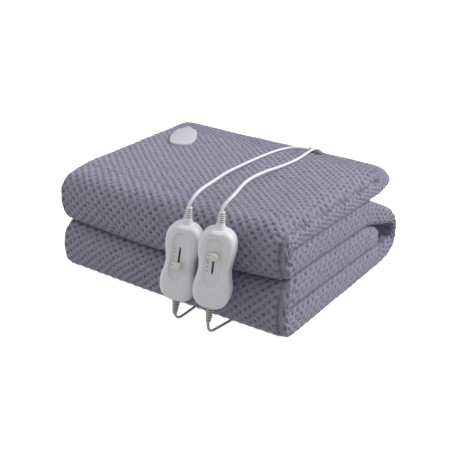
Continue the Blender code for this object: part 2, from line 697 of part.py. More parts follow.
def make_lower_relief_and_cord(side, rubber, sheath):
    """The tapered, ribbed relief follows the start of the mains lead's own curve."""
    route = smooth_route(mains_route(side), MAINS_D * 0.25)
    along = np.r_[0, np.cumsum(np.linalg.norm(np.diff(route, axis=0), axis=1))]

    def read(start, end, count):
        at = np.linspace(start, end, count)
        return np.stack([np.interp(at, along, route[:, k]) for k in range(3)], axis=1)

    count = 2 * RELIEF_RIBS + 1
    tapered_tube(
        f"lower_relief_{side}",
        [tuple(p) for p in read(0, RELIEF_DOWN_LONG, count)],
        ribbed_radii(count, 0.0062, 0.0030, 0.0005),
        rubber,
    )
    start = RELIEF_DOWN_LONG + 2 * TOUCH
    steps = min(80, round((along[-1] - start) / (2.4 * MAINS_D)))
    points = np.vstack([read(start, start + MAINS_D / 2, 2), read(start + MAINS_D, along[-1], steps)])
    return cord(f"mains_cord_{side}", points, MAINS_D, sheath)


def gland_height(side):
    """Height of a gland's axis: the lead's own, as it lies against the underside of layer 3."""
    x = GLAND_X[side]
    under = float(real_height(np.array(x), np.array(TOP_END), np.array(3 * LAYER + SLIT / 2)))
    return under - LEAD_D / 2 - END_CLEAR


def lead_points(side):
    """The lead from its gland, round the top layer's free end, over the top and down to its relief."""
    gland_x, low = GLAND_X[side], gland_height(side)
    route = [(x, y, z or top_height(x, y) + LEAD_D / 2 + TOUCH) for x, y, z in LEAD_ROUTES[side]]
    high = route[-1][2] + END_CLEAR - TOUCH
    bend_y, reach, half = TOP_END - END_ROUND, END_ROUND + LEAD_D / 2 + END_CLEAR, (high - low) / 2
    points = [(gland_x, GLAND_Y + GLAND_LONG + TOUCH, low)]
    for turn in (-75, -50, -25, 0, 25, 50, 75):
        out, up = superellipse(turn / 90, reach, half, LEAD_OVER)
        share = (turn + 90) / 180
        x = gland_x + (route[-1][0] - gland_x) * share**2
        points.append((x, bend_y + out, low + half + up))
    points.extend(reversed(route))
    base, up = upper_exit(side)
    tip = base + up * (RELIEF_UP_LONG + TOUCH)
    points.append(tuple(tip + up * LEAD_D))
    return [*smooth_route(points, 2.2 * LEAD_D), tuple(tip)]


def make_lead(side, sheath):
    return cord(f"lead_{side}", lead_points(side), LEAD_D, sheath)


def make_gland(side, finish):
    x, z = GLAND_X[side], gland_height(side)
    path = [(x, GLAND_Y + GLAND_LONG * i / 6, z) for i in range(7)]
    return tapered_tube(f"gland_{side}", path, ribbed_radii(7, GLAND_R, 0.0030, 0.0003), finish, sides=12)


# ---------------------------------------------------------------- coil and plug
def make_coil(side, finish):
    half = COIL_COLUMNS * MAINS_D / 2
    top = COIL_ROWS * MAINS_D
    inner, outer, low, high = COIL_MEAN - half, COIL_MEAN + half, COIL_BEVEL_LOW, COIL_BEVEL_HIGH
    profile = (
        (inner, low), (inner + low, 0.0), (outer - low, 0.0), (outer, low),
        (outer, top - high), (outer - high, top), (inner + high, top), (inner, top - high),
    )
    steps, count = 28, len(profile)
    vertices, faces = [], []
    for i in range(steps):
        a = 2 * math.pi * i / steps
        for r, z in profile:
            vertices.append((coil_x(side) + r * math.cos(a), COIL_Y + r * math.sin(a), z))
        for j in range(count):
            k = (j + 1) % count
            i2 = (i + 1) % steps
            faces.append((i * count + j, i * count + k, i2 * count + k, i2 * count + j))
    return mesh_object(f"mains_coil_{side}", vertices, faces, finish)


def plug_tail(side):
    """Where the lead meets the plug: the plug lies flat behind the coil, its pins pointing left."""
    return coil_x(side) - COIL_OUT - TAIL_LONG


def make_tail(side, sheath):
    """The lead leaves the coil from its topmost turn and comes down to the plug."""
    y, top, plug_z = COIL_Y + COIL_OUT, (COIL_ROWS - 0.5) * MAINS_D, PLUG_THICK / 2
    start, end = coil_x(side) - TAIL_LEAVE, plug_tail(side) + TOUCH
    points = [(start, y, top - 0.0004), ((start + end) / 2, y, (top + plug_z) / 2)]
    points += [(end + 0.006, y, plug_z + 0.0004), (end, y, plug_z)]
    return cord(f"mains_tail_{side}", smooth_route(points, 1.2 * MAINS_D), MAINS_D, sheath)


def make_plug(side, finish, pin_finish):
    """A flat two-pin plug: a tapered body with a waisted grip, and two round pins."""
    y, z = COIL_Y + COIL_OUT, PLUG_THICK / 2
    tail = plug_tail(side)
    # columns: distance from the tail, half width, half thickness
    profile = ((0.0, 0.0042, 0.0040), (0.010, 0.0056, 0.0050), (0.013, 0.0100, PLUG_THICK / 2),
               (0.020, 0.0150, PLUG_THICK / 2), (0.027, PLUG_WIDE / 2, PLUG_THICK / 2),
               (0.010 + PLUG_LONG - 0.001, PLUG_WIDE / 2, PLUG_THICK / 2),
               (0.010 + PLUG_LONG, PLUG_WIDE / 2 - 0.001, PLUG_THICK / 2 - 0.001))
    rings = []
    for back, wide, thick in profile:
        ring = []
        for i in range(20):
            a = 2 * math.pi * i / 20
            c, s = math.cos(a), math.sin(a)
            ring.append(
                (
                    tail - back,
                    y + wide * math.copysign(abs(c) ** 0.5, c),
                    z + thick * math.copysign(abs(s) ** 0.5, s),
                )
            )
        rings.append(ring)
    plug = mesh_object(f"plug_{side}", *skin_rings(rings), finish)
    face_x = tail - 0.010 - PLUG_LONG - TOUCH
    for number, shift in enumerate((-PIN_APART / 2, PIN_APART / 2), 1):
        path = [(face_x - step, y + shift, z) for step in (0, PIN_LONG - 0.001, PIN_LONG)]
        tapered_tube(f"plug_{side}_pin_{number}", path, (PIN_R, PIN_R, PIN_R * 0.6), pin_finish, sides=12)
    return plug


# ---------------------------------------------------------------- cover plate
def make_cover(finish):
    """A flat shield-shaped terminal cover, lying on the top near its back left corner."""
    cx, cy = COVER_CENTRE
    outline = list(COVER_OUTLINE) + [(-x, y) for x, y in reversed(COVER_OUTLINE[1:-1])]
    # columns: share of the outline, height over the cover's underside
    profile = ((0.985, 0.0), (1.0, 0.0006), (1.0, 0.0030), (0.985, 0.0038), (0.955, COVER_THICK))
    rings = [[(x * scale, y * scale, out) for x, y in outline] for scale, out in profile]
    cover = mesh_object("cover_plate", *skin_rings(rings), finish)
    step = 0.03
    slope_x = (top_height(cx + step, cy) - top_height(cx - step, cy)) / (2 * step)
    slope_y = (top_height(cx, cy + step) - top_height(cx, cy - step)) / (2 * step)
    normal = Vector((-slope_x, -slope_y, 1)).normalized()
    tilt = Vector((0, 0, 1)).rotation_difference(normal).to_matrix().to_4x4()
    place = Matrix.Translation((cx, cy, top_height(cx, cy) + COVER_CLEAR))
    cover.matrix_world = place @ tilt @ Matrix.Rotation(math.radians(COVER_TURN), 4, "Z")
    return cover


def build():
    clear_scene()
    fleece = material("fleece_lilac_grey", (0.26, 0.25, 0.33), 0.95)
    shell = material("controller_shell_white", (0.78, 0.77, 0.78), 0.35)
    knob = material("slider_cream", (0.86, 0.84, 0.76), 0.35)
    rubber = material("strain_relief_grey", (0.62, 0.61, 0.60), 0.5)
    white_sheath = material("lead_sheath_white", (0.85, 0.85, 0.88), 0.4)
    grey_sheath = material("mains_sheath_grey", (0.50, 0.49, 0.48), 0.45)
    plug_grey = material("plug_body_grey", (0.56, 0.55, 0.54), 0.5)
    nickel = material("plug_pin_nickel", (0.75, 0.74, 0.70), 0.25, 1.0)
    make_blanket(fleece)
    make_cover(shell)
    for side in CONTROLLERS:
        make_housing(side, shell)
        make_slider(side, knob)
        make_upper_relief(side, rubber)
        make_gland(side, rubber)
        make_lead(side, white_sheath)
        make_lower_relief_and_cord(side, rubber, grey_sheath)
        make_coil(side, grey_sheath)
        make_tail(side, grey_sheath)
        make_plug(side, plug_grey, nickel)


build()
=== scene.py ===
import math
from collections import namedtuple
from functools import cache

import bmesh
import bpy
import numpy as np
from mathutils import Matrix, Vector, noise


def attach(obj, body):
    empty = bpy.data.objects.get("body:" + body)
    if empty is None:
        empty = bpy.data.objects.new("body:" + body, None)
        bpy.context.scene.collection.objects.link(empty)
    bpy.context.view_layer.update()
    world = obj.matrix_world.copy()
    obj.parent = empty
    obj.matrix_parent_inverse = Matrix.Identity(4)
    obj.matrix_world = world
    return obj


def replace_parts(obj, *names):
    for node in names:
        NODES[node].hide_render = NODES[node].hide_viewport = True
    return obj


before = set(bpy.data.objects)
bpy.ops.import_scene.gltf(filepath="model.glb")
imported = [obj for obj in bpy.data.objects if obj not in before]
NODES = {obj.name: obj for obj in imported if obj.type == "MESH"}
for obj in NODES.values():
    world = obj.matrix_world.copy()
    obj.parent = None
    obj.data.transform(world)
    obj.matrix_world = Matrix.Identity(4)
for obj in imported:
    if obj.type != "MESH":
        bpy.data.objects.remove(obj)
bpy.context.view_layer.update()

SIDES = ("left", "right")

# ---- the part's own dimensions
WIDTH = 0.400
DEPTH = 0.345
LAYER = 0.041  # nominal height of one of the stack's four layers
SLIT = 0.002
FOLD_REACH = 0.034  # a front fold's bulge, from where it starts to bend
WRAP_REACH = 0.066  # the same for the back wrap
WRAP_THICK = 0.030
WRAP_RIM, FOLD_RIM = 0.011, 0.010  # walls of the wrap and the front folds at their right rims
RIM_FROM = 0.4  # from how far to the right they thin out, as a share of half the width
TONGUE_END = 0.136  # y of the tongue's free end
TOP_END = 0.155  # y of the top layer's free end
END_ROUND = 0.018  # how far a free end rounds off
FOLD_START = -DEPTH / 2 + FOLD_REACH  # y at which the front folds start to bend
LEAVE = 0.020  # how far from a fold the next layer's stations start
FOLD_POWER = 2.4  # superellipse powers of the front folds, and of the wrap's two halves
WRAP_POWER_LOW, WRAP_POWER_HIGH = 3.0, 2.1
EDGE_POWER, END_POWER = 3.0, 2.2  # powers with which the right edge and a free end round off
CORNER_POWER, CORNER_POWER_LEFT = 4.0, 8.0  # the same for the corners, seen from above
RIGHT_ROUND = 0.012
SHOULDER_ACROSS, SHOULDER_DOWN = 0.030, 0.018  # soft shoulder along the top layer's right edge
LEFT_ACROSS, LEFT_DOWN = 0.028, 0.007  # the same at its front left corner
LEFT_BACK, LEFT_FRONT = -0.110, -0.170  # y over which that comes in
LEFT_IN = 0.0035  # how much further in the left end lies at the top
FOLD_CORNER = 0.006
END_CORNER, END_CORNER_IN = 0.020, 0.005
END_CORNER_LEFT = 0.014
SAG = 0.026  # how far the wrap has sunk at its back, right of the leads
SAG_FRONT, SAG_BACK = 0.060, 0.145
SAG_LEFT, SAG_RIGHT = 0.080, 0.150
FOLD_DROP_LEFT, FOLD_DROP_RIGHT = 0.003, 0.006  # how far the upper front fold hangs over the lower one
PLIES = 4
PLY_GROOVE = 0.005  # depth of the groove between two ply edges
# columns: front left, front middle, front right, back left, back middle, back right
LAYER_TOPS = (
    (0.039, 0.038, 0.0445, 0.038, 0.037, 0.037),
    (0.082, 0.078, 0.0940, 0.077, 0.077, 0.080),
    (0.122, 0.120, 0.1335, 0.119, 0.120, 0.1245),
    (0.161, 0.161, 0.1710, 0.157, 0.156, 0.156),
)
LEAD_D = 0.0046
MAINS_D = 0.0036
TOUCH = 0.0003
# columns: centre of the back face x, y, z; turn, roll (degrees); slider's place on its track
CONTROLLERS = {
    "left": (0.0480, -0.1842, 0.0949, 17.0, 7.3, 0.0),
    "right": (0.1045, -0.1862, 0.1027, 21.0, 6.0, 1.0),
}
HOUSING_HALF = 0.0574  # half of a housing's length, without its neck
HOUSING_THICK = 0.026
HOUSING_AXIS = -0.012  # how far out of the back face the leads enter
HOUSING_UPPER, HOUSING_LOWER = 0.0254, 0.0260  # half widths of the two lobes
HOUSING_WAIST = 0.0216
HOUSING_END = 0.0270  # length of a lobe's round end
HOUSING_POWER = 2.5
HOUSING_FLAT = 0.0006
HOUSING_LEAN = 4.5
NECK_LONG = 0.0061
# columns: height over the housing's end, half width, half thickness
NECK = (
    (-0.0060, 0.0130, 0.0096), (-0.0015, 0.0112, 0.0088), (0.0, 0.0098, 0.0082), (0.0010, 0.0087, 0.0077),
    (0.0022, 0.0078, 0.0072), (0.0036, 0.0071, 0.0067), (0.0050, 0.0066, 0.0064), (NECK_LONG, 0.0063, 0.0062),
)
DISH_TOP, DISH_BOTTOM = 0.0462, -0.0255
DISH_HALF_TOP, DISH_HALF_BOTTOM = 0.0104, 0.0136
DISH_DEEP = 0.0022
SLOT_X = -0.0008
SLOT_WIDE = 0.0024
SLOT_POWER = 5
TRACK_LOW, TRACK_HIGH = -0.0015, 0.0218  # the slider's lowest and highest place
SETTINGS = 5
STEM_LONG = 0.005
STEM_WIDE = 0.0017
STEM_DEEP = 0.004
TAB_LEFT, TAB_RIGHT, TAB_HALF, TAB_DROP = -0.0110, 0.0056, 0.0052, 0.0020
TAB_THICK = 0.0031
TAB_ROUND = (0.72, 0.90)  # exponents of its outline, across and along
BLOCK_ROUND = (0.5, 0.5)  # the same for the stem and the plug
KNOB_R, KNOB_X = 0.0050, 0.0006
RELIEF_UP_LONG = 0.0165
RELIEF_DOWN_LONG = 0.0235
RELIEF_RIBS = 6
# x, y and height of the axis, or None where the lead lies on the cloth
LEAD_ROUTES = {
    "left": (
        (0.0612, -0.1805, 0.1862), (0.0614, -0.1715, 0.1905), (0.0602, -0.1590, 0.1924),
        (0.0560, -0.1361, 0.1910), (0.0446, -0.0984, 0.1852), (0.0329, -0.0598, 0.1785),
        (0.0197, -0.0095, 0.1688),
        (0.0120, 0.0316, 0.1623), (0.0116, 0.0643, None), (0.0163, 0.0980, None),
        (0.0243, 0.1200, None), (0.0338, 0.1300, None), (0.0480, 0.1350, None),
    ),
    "right": (
        (0.1162, -0.1826, 0.1935), (0.1176, -0.1740, 0.1978), (0.1166, -0.1605, 0.2006),
        (0.1097, -0.1366, 0.2008),
        (0.0992, -0.1018, 0.1965), (0.0880, -0.0647, 0.1880), (0.0743, -0.0173, 0.1760),
        (0.0663, 0.0268, 0.1660), (0.0640, 0.0673, 0.1610), (0.0637, 0.0941, None),
        (0.0600, 0.1275, None), (0.0597, 0.1355, None),
    ),
}
LEAD_OVER = 2.2  # superellipse power of a lead's bend round the top layer's end
GLAND_X = {"left": 0.0600, "right": 0.0740}
GLAND_Y = 0.1180
GLAND_LONG = 0.0160
END_CLEAR = 0.0010  # extra distance of a lead from the end round which it bends
CHANNELS = {"left": (0.0425, -0.0040), "right": (0.1055, 0.1300)}  # x at the front and at the back
CHANNEL_END = 0.010  # how far inside the front and the back of the stack those two places lie
CHANNEL_HIGH = 0.0062
FLOOR_CLEAR = 0.0001  # between a mains lead and the floor
MAINS_BEND = 0.0165
COIL_MEAN = 0.0205
COIL_OUT = COIL_MEAN + MAINS_D  # radius of a coil's outermost turns
COIL_COLUMNS = 3
COIL_ROWS = 4
COIL_Y = 0.212
COIL_BEFORE = 0.026  # how far before the coil's middle the lead's last point on the floor lies
TAIL_LEAVE = 0.0130  # how far past the coil's middle the lead comes clear of it
TAIL_LONG = 0.020
TAIL_EASE = 0.0004  # how far the tail falls at each of its ends
PLUG_WIDE, PLUG_THICK, PLUG_LONG = 0.035, 0.0137, 0.034
COVER_CENTRE = (-0.1444, 0.0634)
COVER_TURN = 28
COVER_CLEAR = 0.0007
# half of the shield's outline, from its point to its bottom: across, along
COVER_OUTLINE = (
    (0.0000, 0.0545), (0.0115, 0.0387), (0.0145, 0.0377), (0.0172, 0.0310), (0.0200, 0.0200),
    (0.0217, 0.0050), (0.0214, -0.0100), (0.0190, -0.0240), (0.0145, -0.0325), (0.0075, -0.0370),
    (0.0000, -0.0385),
)

# ---- camera
CAMERA_TURN, CAMERA_RISE = math.radians(35.081), math.radians(25.113)
CAMERA_FAR = 1.441
CAMERA_SHIFT = (-0.006, 0.050)
PHOTO_SIDE, FOCAL_PIXELS, SENSOR = 458, 900, 36.0


def make_camera():
    back = Vector((
        math.sin(CAMERA_TURN) * math.cos(CAMERA_RISE),
        -math.cos(CAMERA_TURN) * math.cos(CAMERA_RISE),
        math.sin(CAMERA_RISE),
    ))
    right = Vector((math.cos(CAMERA_TURN), math.sin(CAMERA_TURN), 0))
    up = back.cross(right)
    place = right * CAMERA_SHIFT[0] + up * CAMERA_SHIFT[1] + back * CAMERA_FAR
    data = bpy.data.cameras.new("camera")
    data.sensor_width = SENSOR
    data.lens = SENSOR * FOCAL_PIXELS / PHOTO_SIDE
    data.clip_start, data.clip_end = 0.01, 50
    camera = bpy.data.objects.new("camera", data)
    camera.matrix_world = Matrix.Translation(place) @ Matrix((right, up, back)).transposed().to_4x4()
    bpy.context.scene.collection.objects.link(camera)
    bpy.context.scene.camera = camera


# ---- materials
FLEECE = (0.272, 0.258, 0.345)
FLEECE_SHADE = (0.190, 0.178, 0.250)
FLEECE_LIGHT = (0.395, 0.378, 0.490)
FLEECE_WARM = (0.290, 0.268, 0.340)
# the next two colours are painted light: shade darkening the dimples, and a highlight on one family of ridges
FLEECE_PIT_SHADE = (0.085, 0.078, 0.116)
FLEECE_RIDGE_HIGHLIGHT = (0.46, 0.445, 0.56)
FLEECE_SHEEN = (0.86, 0.84, 1.0)
PIT_SHADE_SHARE, RIDGE_HIGHLIGHT_SHARE = 0.95, 0.20  # how strongly the painted shade in the dimples and the painted highlight on the ridges are laid on
LATTICE_SHAKE = 0.34  # how unevenly the dimples are drawn, as a share of their spacing
# columns: colour, roughness, strength of the grain, and share of the colour left in a relief's slots as
# painted shade
PLASTICS = {
    "lead_sheath": ((0.72, 0.71, 0.75), 0.38, 0.03),
    "mains_sheath": ((0.22, 0.22, 0.22), 0.45, 0.05),
    "plug_body": ((0.30, 0.30, 0.295), 0.5, 0.06),
    "plate": ((0.56, 0.555, 0.605), 0.35, 0.04),
    "shell": ((0.65, 0.642, 0.668), 0.46, 0.04),
    # dark print of the dots, and painted shade on the slot's walls and floor
    "slot_dark": ((0.17, 0.165, 0.16), 0.5, 0.04),
    "knob_cream": ((0.66, 0.63, 0.54), 0.34, 0.04),
    "gland_white": ((0.70, 0.695, 0.69), 0.5, 0.06),
    "relief_light": ((0.70, 0.695, 0.69), 0.5, 0.06, 0.18),
    "relief_grey": ((0.40, 0.40, 0.395), 0.55, 0.06, 0.18),
}
PIN_METAL = (0.62, 0.60, 0.55)
FLOOR_GREY = (0.35, 0.35, 0.35)


def material(name, colour, roughness, **sockets):
    """A Principled material and its shader; _ in a socket's name stands for a space."""
    made = bpy.data.materials.new(name)
    made.use_nodes = True
    shader = made.node_tree.nodes["Principled BSDF"]
    values = {"Base Color": (*colour, 1.0), "Roughness": roughness, **sockets}
    for socket, value in values.items():
        shader.inputs[socket.replace("_", " ")].default_value = value
    return made, shader


def node(made, kind, **values):
    """A new node; each value goes to the socket of that name, or else to the node's own setting."""
    new = made.node_tree.nodes.new(kind)
    for key, value in values.items():
        socket = key.replace("_", " ")
        if socket in new.inputs:
            new.inputs[socket].default_value = value
        else:
            setattr(new, key, value)
    return new


def link(made, source, target):
    made.node_tree.links.new(source, target)


def texture_noise(made, scale, detail=2.0, roughness=0.5):
    place = node(made, "ShaderNodeTexCoord")
    grain = node(made, "ShaderNodeTexNoise", Scale=scale, Detail=detail, Roughness=roughness)
    link(made, place.outputs["Object"], grain.inputs["Vector"])
    return grain.outputs["Fac"]


def mix_colours(made, factor, low, high):
    """A colour between two others, each a colour or another node's output."""
    mix = node(made, "ShaderNodeMix", data_type="RGBA")
    for index, value in ((6, low), (7, high)):
        if isinstance(value, tuple):
            mix.inputs[index].default_value = (*value, 1.0)
        else:
            link(made, value, mix.inputs[index])
    link(made, factor, mix.inputs[0])
    return mix.outputs[2]


def ramp(made, value, low, high, out_low=0.0, out_high=1.0):
    reach = node(made, "ShaderNodeMapRange", From_Min=low, From_Max=high, To_Min=out_low, To_Max=out_high)
    link(made, value, reach.inputs["Value"])
    return reach.outputs["Result"]


def bump(made, height, strength, distance, below=None):
    step = node(made, "ShaderNodeBump", Strength=strength, Distance=distance)
    link(made, height, step.inputs["Height"])
    if below is not None:
        link(made, below, step.inputs["Normal"])
    return step.outputs["Normal"]


def maths(made, operation, first, second=None):
    """One step of arithmetic; each value is a number or another node's output."""
    step = node(made, "ShaderNodeMath", operation=operation)
    for index, value in enumerate((first, second)):
        if isinstance(value, (int, float)):
            step.inputs[index].default_value = value
        elif value is not None:
            link(made, value, step.inputs[index])
    return step.outputs[0]


@cache
def plastic(name):
    """Moulded plastic: faint clouding in the colour, uneven gloss and a fine spark-eroded grain."""
    colour, roughness, grain, *slots = PLASTICS[name]
    made, shader = material(name, colour, roughness)
    tone = mix_colours(made, texture_noise(made, 60.0, 3.0), tuple(c * 0.94 for c in colour), colour)
    for share in slots:  # the strain relief carries its slots as its attribute cut, where the colour is darkened as painted shade
        cut = node(made, "ShaderNodeAttribute", attribute_name="cut").outputs["Fac"]
        tone = mix_colours(made, ramp(made, cut, 0.15, 0.8), tone, tuple(share * c for c in colour))
    link(made, tone, shader.inputs["Base Color"])
    gloss = ramp(made, texture_noise(made, 240.0, 3.0), 0.3, 0.7, roughness * 0.9, roughness * 1.12)
    link(made, gloss, shader.inputs["Roughness"])
    link(made, bump(made, texture_noise(made, 2600.0, 1.0), grain, 0.0002), shader.inputs["Normal"])
    return made


def fleece_lattice(made):
    """Dimples and one family of the ridges between them, read from the lattice that the cloth carries."""
    places = []
    for name, scale in (("across", 260.0), ("along", 310.0)):
        carried = node(made, "ShaderNodeAttribute", attribute_name=name).outputs["Fac"]
        shake = maths(made, "SUBTRACT", texture_noise(made, scale, 2.0, 0.6), 0.5)
        places.append(maths(made, "ADD", carried, maths(made, "MULTIPLY", shake, LATTICE_SHAKE)))
    a = maths(made, "MULTIPLY", maths(made, "ADD", *places), math.pi)
    b = maths(made, "MULTIPLY", maths(made, "SUBTRACT", *places), math.pi)
    both = maths(made, "MULTIPLY", maths(made, "COSINE", a), maths(made, "COSINE", b))
    pit = maths(made, "POWER", maths(made, "MULTIPLY", both, both), 2.1)
    ridge = maths(made, "POWER", maths(made, "ABSOLUTE", maths(made, "SINE", a)), 5.0)
    depth = ramp(made, texture_noise(made, 75.0, 1.0), 0.36, 0.60, 0.35, 1.0)
    return maths(made, "MULTIPLY", pit, depth), ridge


def fleece_material():
    """Pile: painted highlight on one family of ridges, painted shade in the dimples, fuzzy fibres and a soft
    sheen.
    """
    made, shader = material("fleece", FLEECE, 0.95, Sheen_Weight=0.40, Sheen_Roughness=0.45,
                            Specular_IOR_Level=0.12, Sheen_Tint=(*FLEECE_SHEEN, 1.0))
    pit, ridge = fleece_lattice(made)
    fibre = texture_noise(made, 900.0, 3.0, 0.65)
    clump = texture_noise(made, 330.0, 2.0, 0.6)
    cloud = texture_noise(made, 14.0, 2.0)
    tone = mix_colours(made, ramp(made, fibre, 0.30, 0.70), FLEECE_SHADE, FLEECE_LIGHT)
    for factor, colour in (
        (ramp(made, clump, 0.42, 0.62, 0.0, 0.80), FLEECE_SHADE),
        (ramp(made, cloud, 0.35, 0.65, 0.0, 0.30), FLEECE_WARM),
        # painted highlight on one family of ridges, and painted shade in the dimples
        (maths(made, "MULTIPLY", ridge, RIDGE_HIGHLIGHT_SHARE), FLEECE_RIDGE_HIGHLIGHT),
        (maths(made, "MULTIPLY", pit, PIT_SHADE_SHARE), FLEECE_PIT_SHADE),
    ):
        tone = mix_colours(made, factor, tone, colour)
    link(made, tone, shader.inputs["Base Color"])
    normal = bump(made, maths(made, "SUBTRACT", maths(made, "MULTIPLY", ridge, 0.25), pit), 0.6, 0.0014)
    normal = bump(made, clump, 1.0, 0.0030, normal)
    normal = bump(made, fibre, 0.9, 0.0012, normal)
    link(made, normal, shader.inputs["Normal"])
    return made


# ---- shared shapes
def level_heights(x, y):
    """Real heights of the floor and the four layers' tops at (x, y): quadratic across, linear to the back."""
    s = 2 * x / WIDTH
    t = np.clip(y / DEPTH + 0.5, 0, 1)
    out = [np.zeros(np.broadcast(s, t).shape)]
    for number, (front_l, front_m, front_r, back_l, back_m, back_r) in enumerate(LAYER_TOPS, 1):
        front = front_m + s * (front_r - front_l) / 2 + s**2 * ((front_r + front_l) / 2 - front_m)
        back = back_m + s * (back_r - back_l) / 2 + s**2 * ((back_r + back_l) / 2 - back_m)
        out.append(front * (1 - t) + back * t)
        if number == 2:
            drop = FOLD_DROP_LEFT + (FOLD_DROP_RIGHT - FOLD_DROP_LEFT) * (s + 1) / 2
            out[-1] = out[-1] - drop * np.clip((FOLD_START - y) / 0.020, 0, 1)
    return np.stack(out)


def smooth_step(value, start, end):
    """0 before start, 1 after end and smooth between."""
    t = np.clip((value - start) / (end - start), 0, 1)
    return t * t * (3 - 2 * t)


def real_height(x, y, nominal):
    """Turns a nominal height, in layers of LAYER, into the real one, smoothly through the layers' tops.

    What lies under layer 3 has sunk at the back right, and layer 3 hasn't.
    """
    heights = level_heights(x, y)
    slope = np.empty_like(heights)
    slope[1:-1] = (heights[2:] - heights[:-2]) / 2
    slope[0] = heights[1] - heights[0]
    slope[-1] = heights[-1] - heights[-2]
    q = np.clip(nominal / LAYER, 0, 4)
    k = np.clip(q.astype(int), 0, 3)
    f = q - k

    def pick(table, index):
        return np.take_along_axis(table, index[None], 0)[0]

    h0, h1 = pick(heights, k), pick(heights, k + 1)
    m0, m1 = pick(slope, k), pick(slope, k + 1)
    z = (
        (2 * f**3 - 3 * f**2 + 1) * h0
        + (f**3 - 2 * f**2 + f) * m0
        + (3 * f**2 - 2 * f**3) * h1
        + (f**3 - f**2) * m1
    )
    sunk = SAG * smooth_step(x, SAG_LEFT, SAG_RIGHT) * smooth_step(y, SAG_FRONT, SAG_BACK)
    return np.where(q < 3, z * (1 - sunk / heights[3]), z)


def top_height(x, y):
    return level_heights(np.asarray(x, float), np.asarray(y, float))[4]


def turns(count):
    """Cosine and sine of evenly spaced angles, once round."""
    angles = [2 * math.pi * i / count for i in range(count)]
    return [(math.cos(a), math.sin(a)) for a in angles]


def signed_power(value, power):
    return math.copysign(abs(value) ** power, value)


def superellipse(turn, reach, half, power):
    """Reach and height on a bulge, for turn from -1 (bottom) through 0 (its furthest) to 1 (top)."""
    angle = turn * math.pi / 2
    out = reach * abs(math.cos(angle)) ** (2 / power)
    return out, half * signed_power(math.sin(angle), 2 / power)


def run_lengths(points):
    """Length along a route at each of its points."""
    return np.r_[0, np.cumsum(np.linalg.norm(np.diff(points, axis=0), axis=1))]


def read_route(points, at):
    """Points read from a route at the given lengths along it."""
    run = run_lengths(points)
    return np.stack([np.interp(at, run, points[:, k]) for k in range(3)], axis=1)


def smooth_route(points, spacing):
    """Points read at an even spacing from a Catmull-Rom curve through the route's own points."""
    p = np.array(points, float)
    ends = np.vstack([2 * p[0] - p[1], p, 2 * p[-1] - p[-2]])
    fine = []
    for i in range(1, len(ends) - 2):
        p0, p1, p2, p3 = ends[i - 1 : i + 3]
        for t in np.linspace(0, 1, 24, endpoint=False):
            fine.append(
                0.5 * (2 * p1 + (p2 - p0) * t + (2 * p0 - 5 * p1 + 4 * p2 - p3) * t**2
                       + (3 * p1 - p0 - 3 * p2 + p3) * t**3)
            )
    fine = np.array([*fine, p[-1]])
    whole = run_lengths(fine)[-1]
    return read_route(fine, np.linspace(0, whole, max(2, round(whole / spacing) + 1)))


def piece(name, mesh, finish, body="root", sharp=None):
    """A new object with its finish, riding on a body and taking its finish from a slot."""
    obj = bpy.data.objects.new(name, mesh)
    mesh.materials.append(finish)
    bpy.context.scene.collection.objects.link(obj)
    if isinstance(mesh, bpy.types.Mesh):
        mesh.shade_smooth()
        if sharp is not None:
            mesh.set_sharp_from_angle(angle=math.radians(sharp))
    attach(obj, body)
    return obj


def closed_mesh(name, vertices, faces):
    mesh = bpy.data.meshes.new(name)
    mesh.from_pydata([tuple(v) for v in vertices], [], faces)
    bm = bmesh.new()
    bm.from_mesh(mesh)
    bmesh.ops.recalc_face_normals(bm, faces=bm.faces)
    bm.to_mesh(mesh)
    bm.free()
    return mesh


def skin_rings(rings):
    """Vertices and faces of a closed body skinned over rings of equal count, with flat ends."""
    count = len(rings[0])
    vertices = [tuple(p) for ring in rings for p in ring]
    faces = []
    for i in range(len(rings) - 1):
        a, b = i * count, (i + 1) * count
        for j in range(count):
            k = (j + 1) % count
            faces.append((a + j, a + k, b + k, b + j))
    faces.append(tuple(range(count)))
    faces.append(tuple((len(rings) - 1) * count + j for j in range(count)))
    return vertices, faces


def hard_piece(name, rings, place, finish, replaced, body="root", sharp=None):
    """A closed body skinned over rings in its own frame, which stands for a CAD node."""
    vertices, faces = skin_rings(rings)
    mesh = closed_mesh(name, [place @ Vector(v) for v in vertices], faces)
    made = piece(name, mesh, plastic(finish), body, sharp)
    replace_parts(made, replaced)
    return made


def circle(middle, radius, first, second, sides):
    return [middle + radius * (c * first + s * second) for c, s in turns(sides)]


def power_ring(middle, half, powers, count):
    """A ring with round corners: middle, half size and exponent, each across and along."""
    return [
        (middle[0] + half[0] * signed_power(c, powers[0]), middle[1] + half[1] * signed_power(s, powers[1]))
        for c, s in turns(count)
    ]


def ring_at(y, outline):
    return [(x, y, z) for x, z in outline]


# ---- cords
def housing_frame(side):
    """Local frame of a housing: x across, y into the cloth from the back face, z along its length."""
    x, y, z, turn, roll, _ = CONTROLLERS[side]
    return (
        Matrix.Translation((x, y, z))
        @ Matrix.Rotation(math.radians(turn), 4, "Z")
        @ Matrix.Rotation(math.radians(-HOUSING_LEAN), 4, "X")
        @ Matrix.Rotation(math.radians(roll), 4, "Y")
    )


def upper_exit(side):
    place = housing_frame(side)
    base = place @ Vector((0, HOUSING_AXIS, HOUSING_HALF + NECK_LONG + TOUCH))
    up = (place.to_3x3() @ Vector((0, 0, 1))).normalized()
    return base, up


def gland_height(side):
    x = GLAND_X[side]
    under = float(real_height(np.array(x), np.array(TOP_END), np.array(3 * LAYER + SLIT / 2)))
    return under - LEAD_D / 2 - END_CLEAR


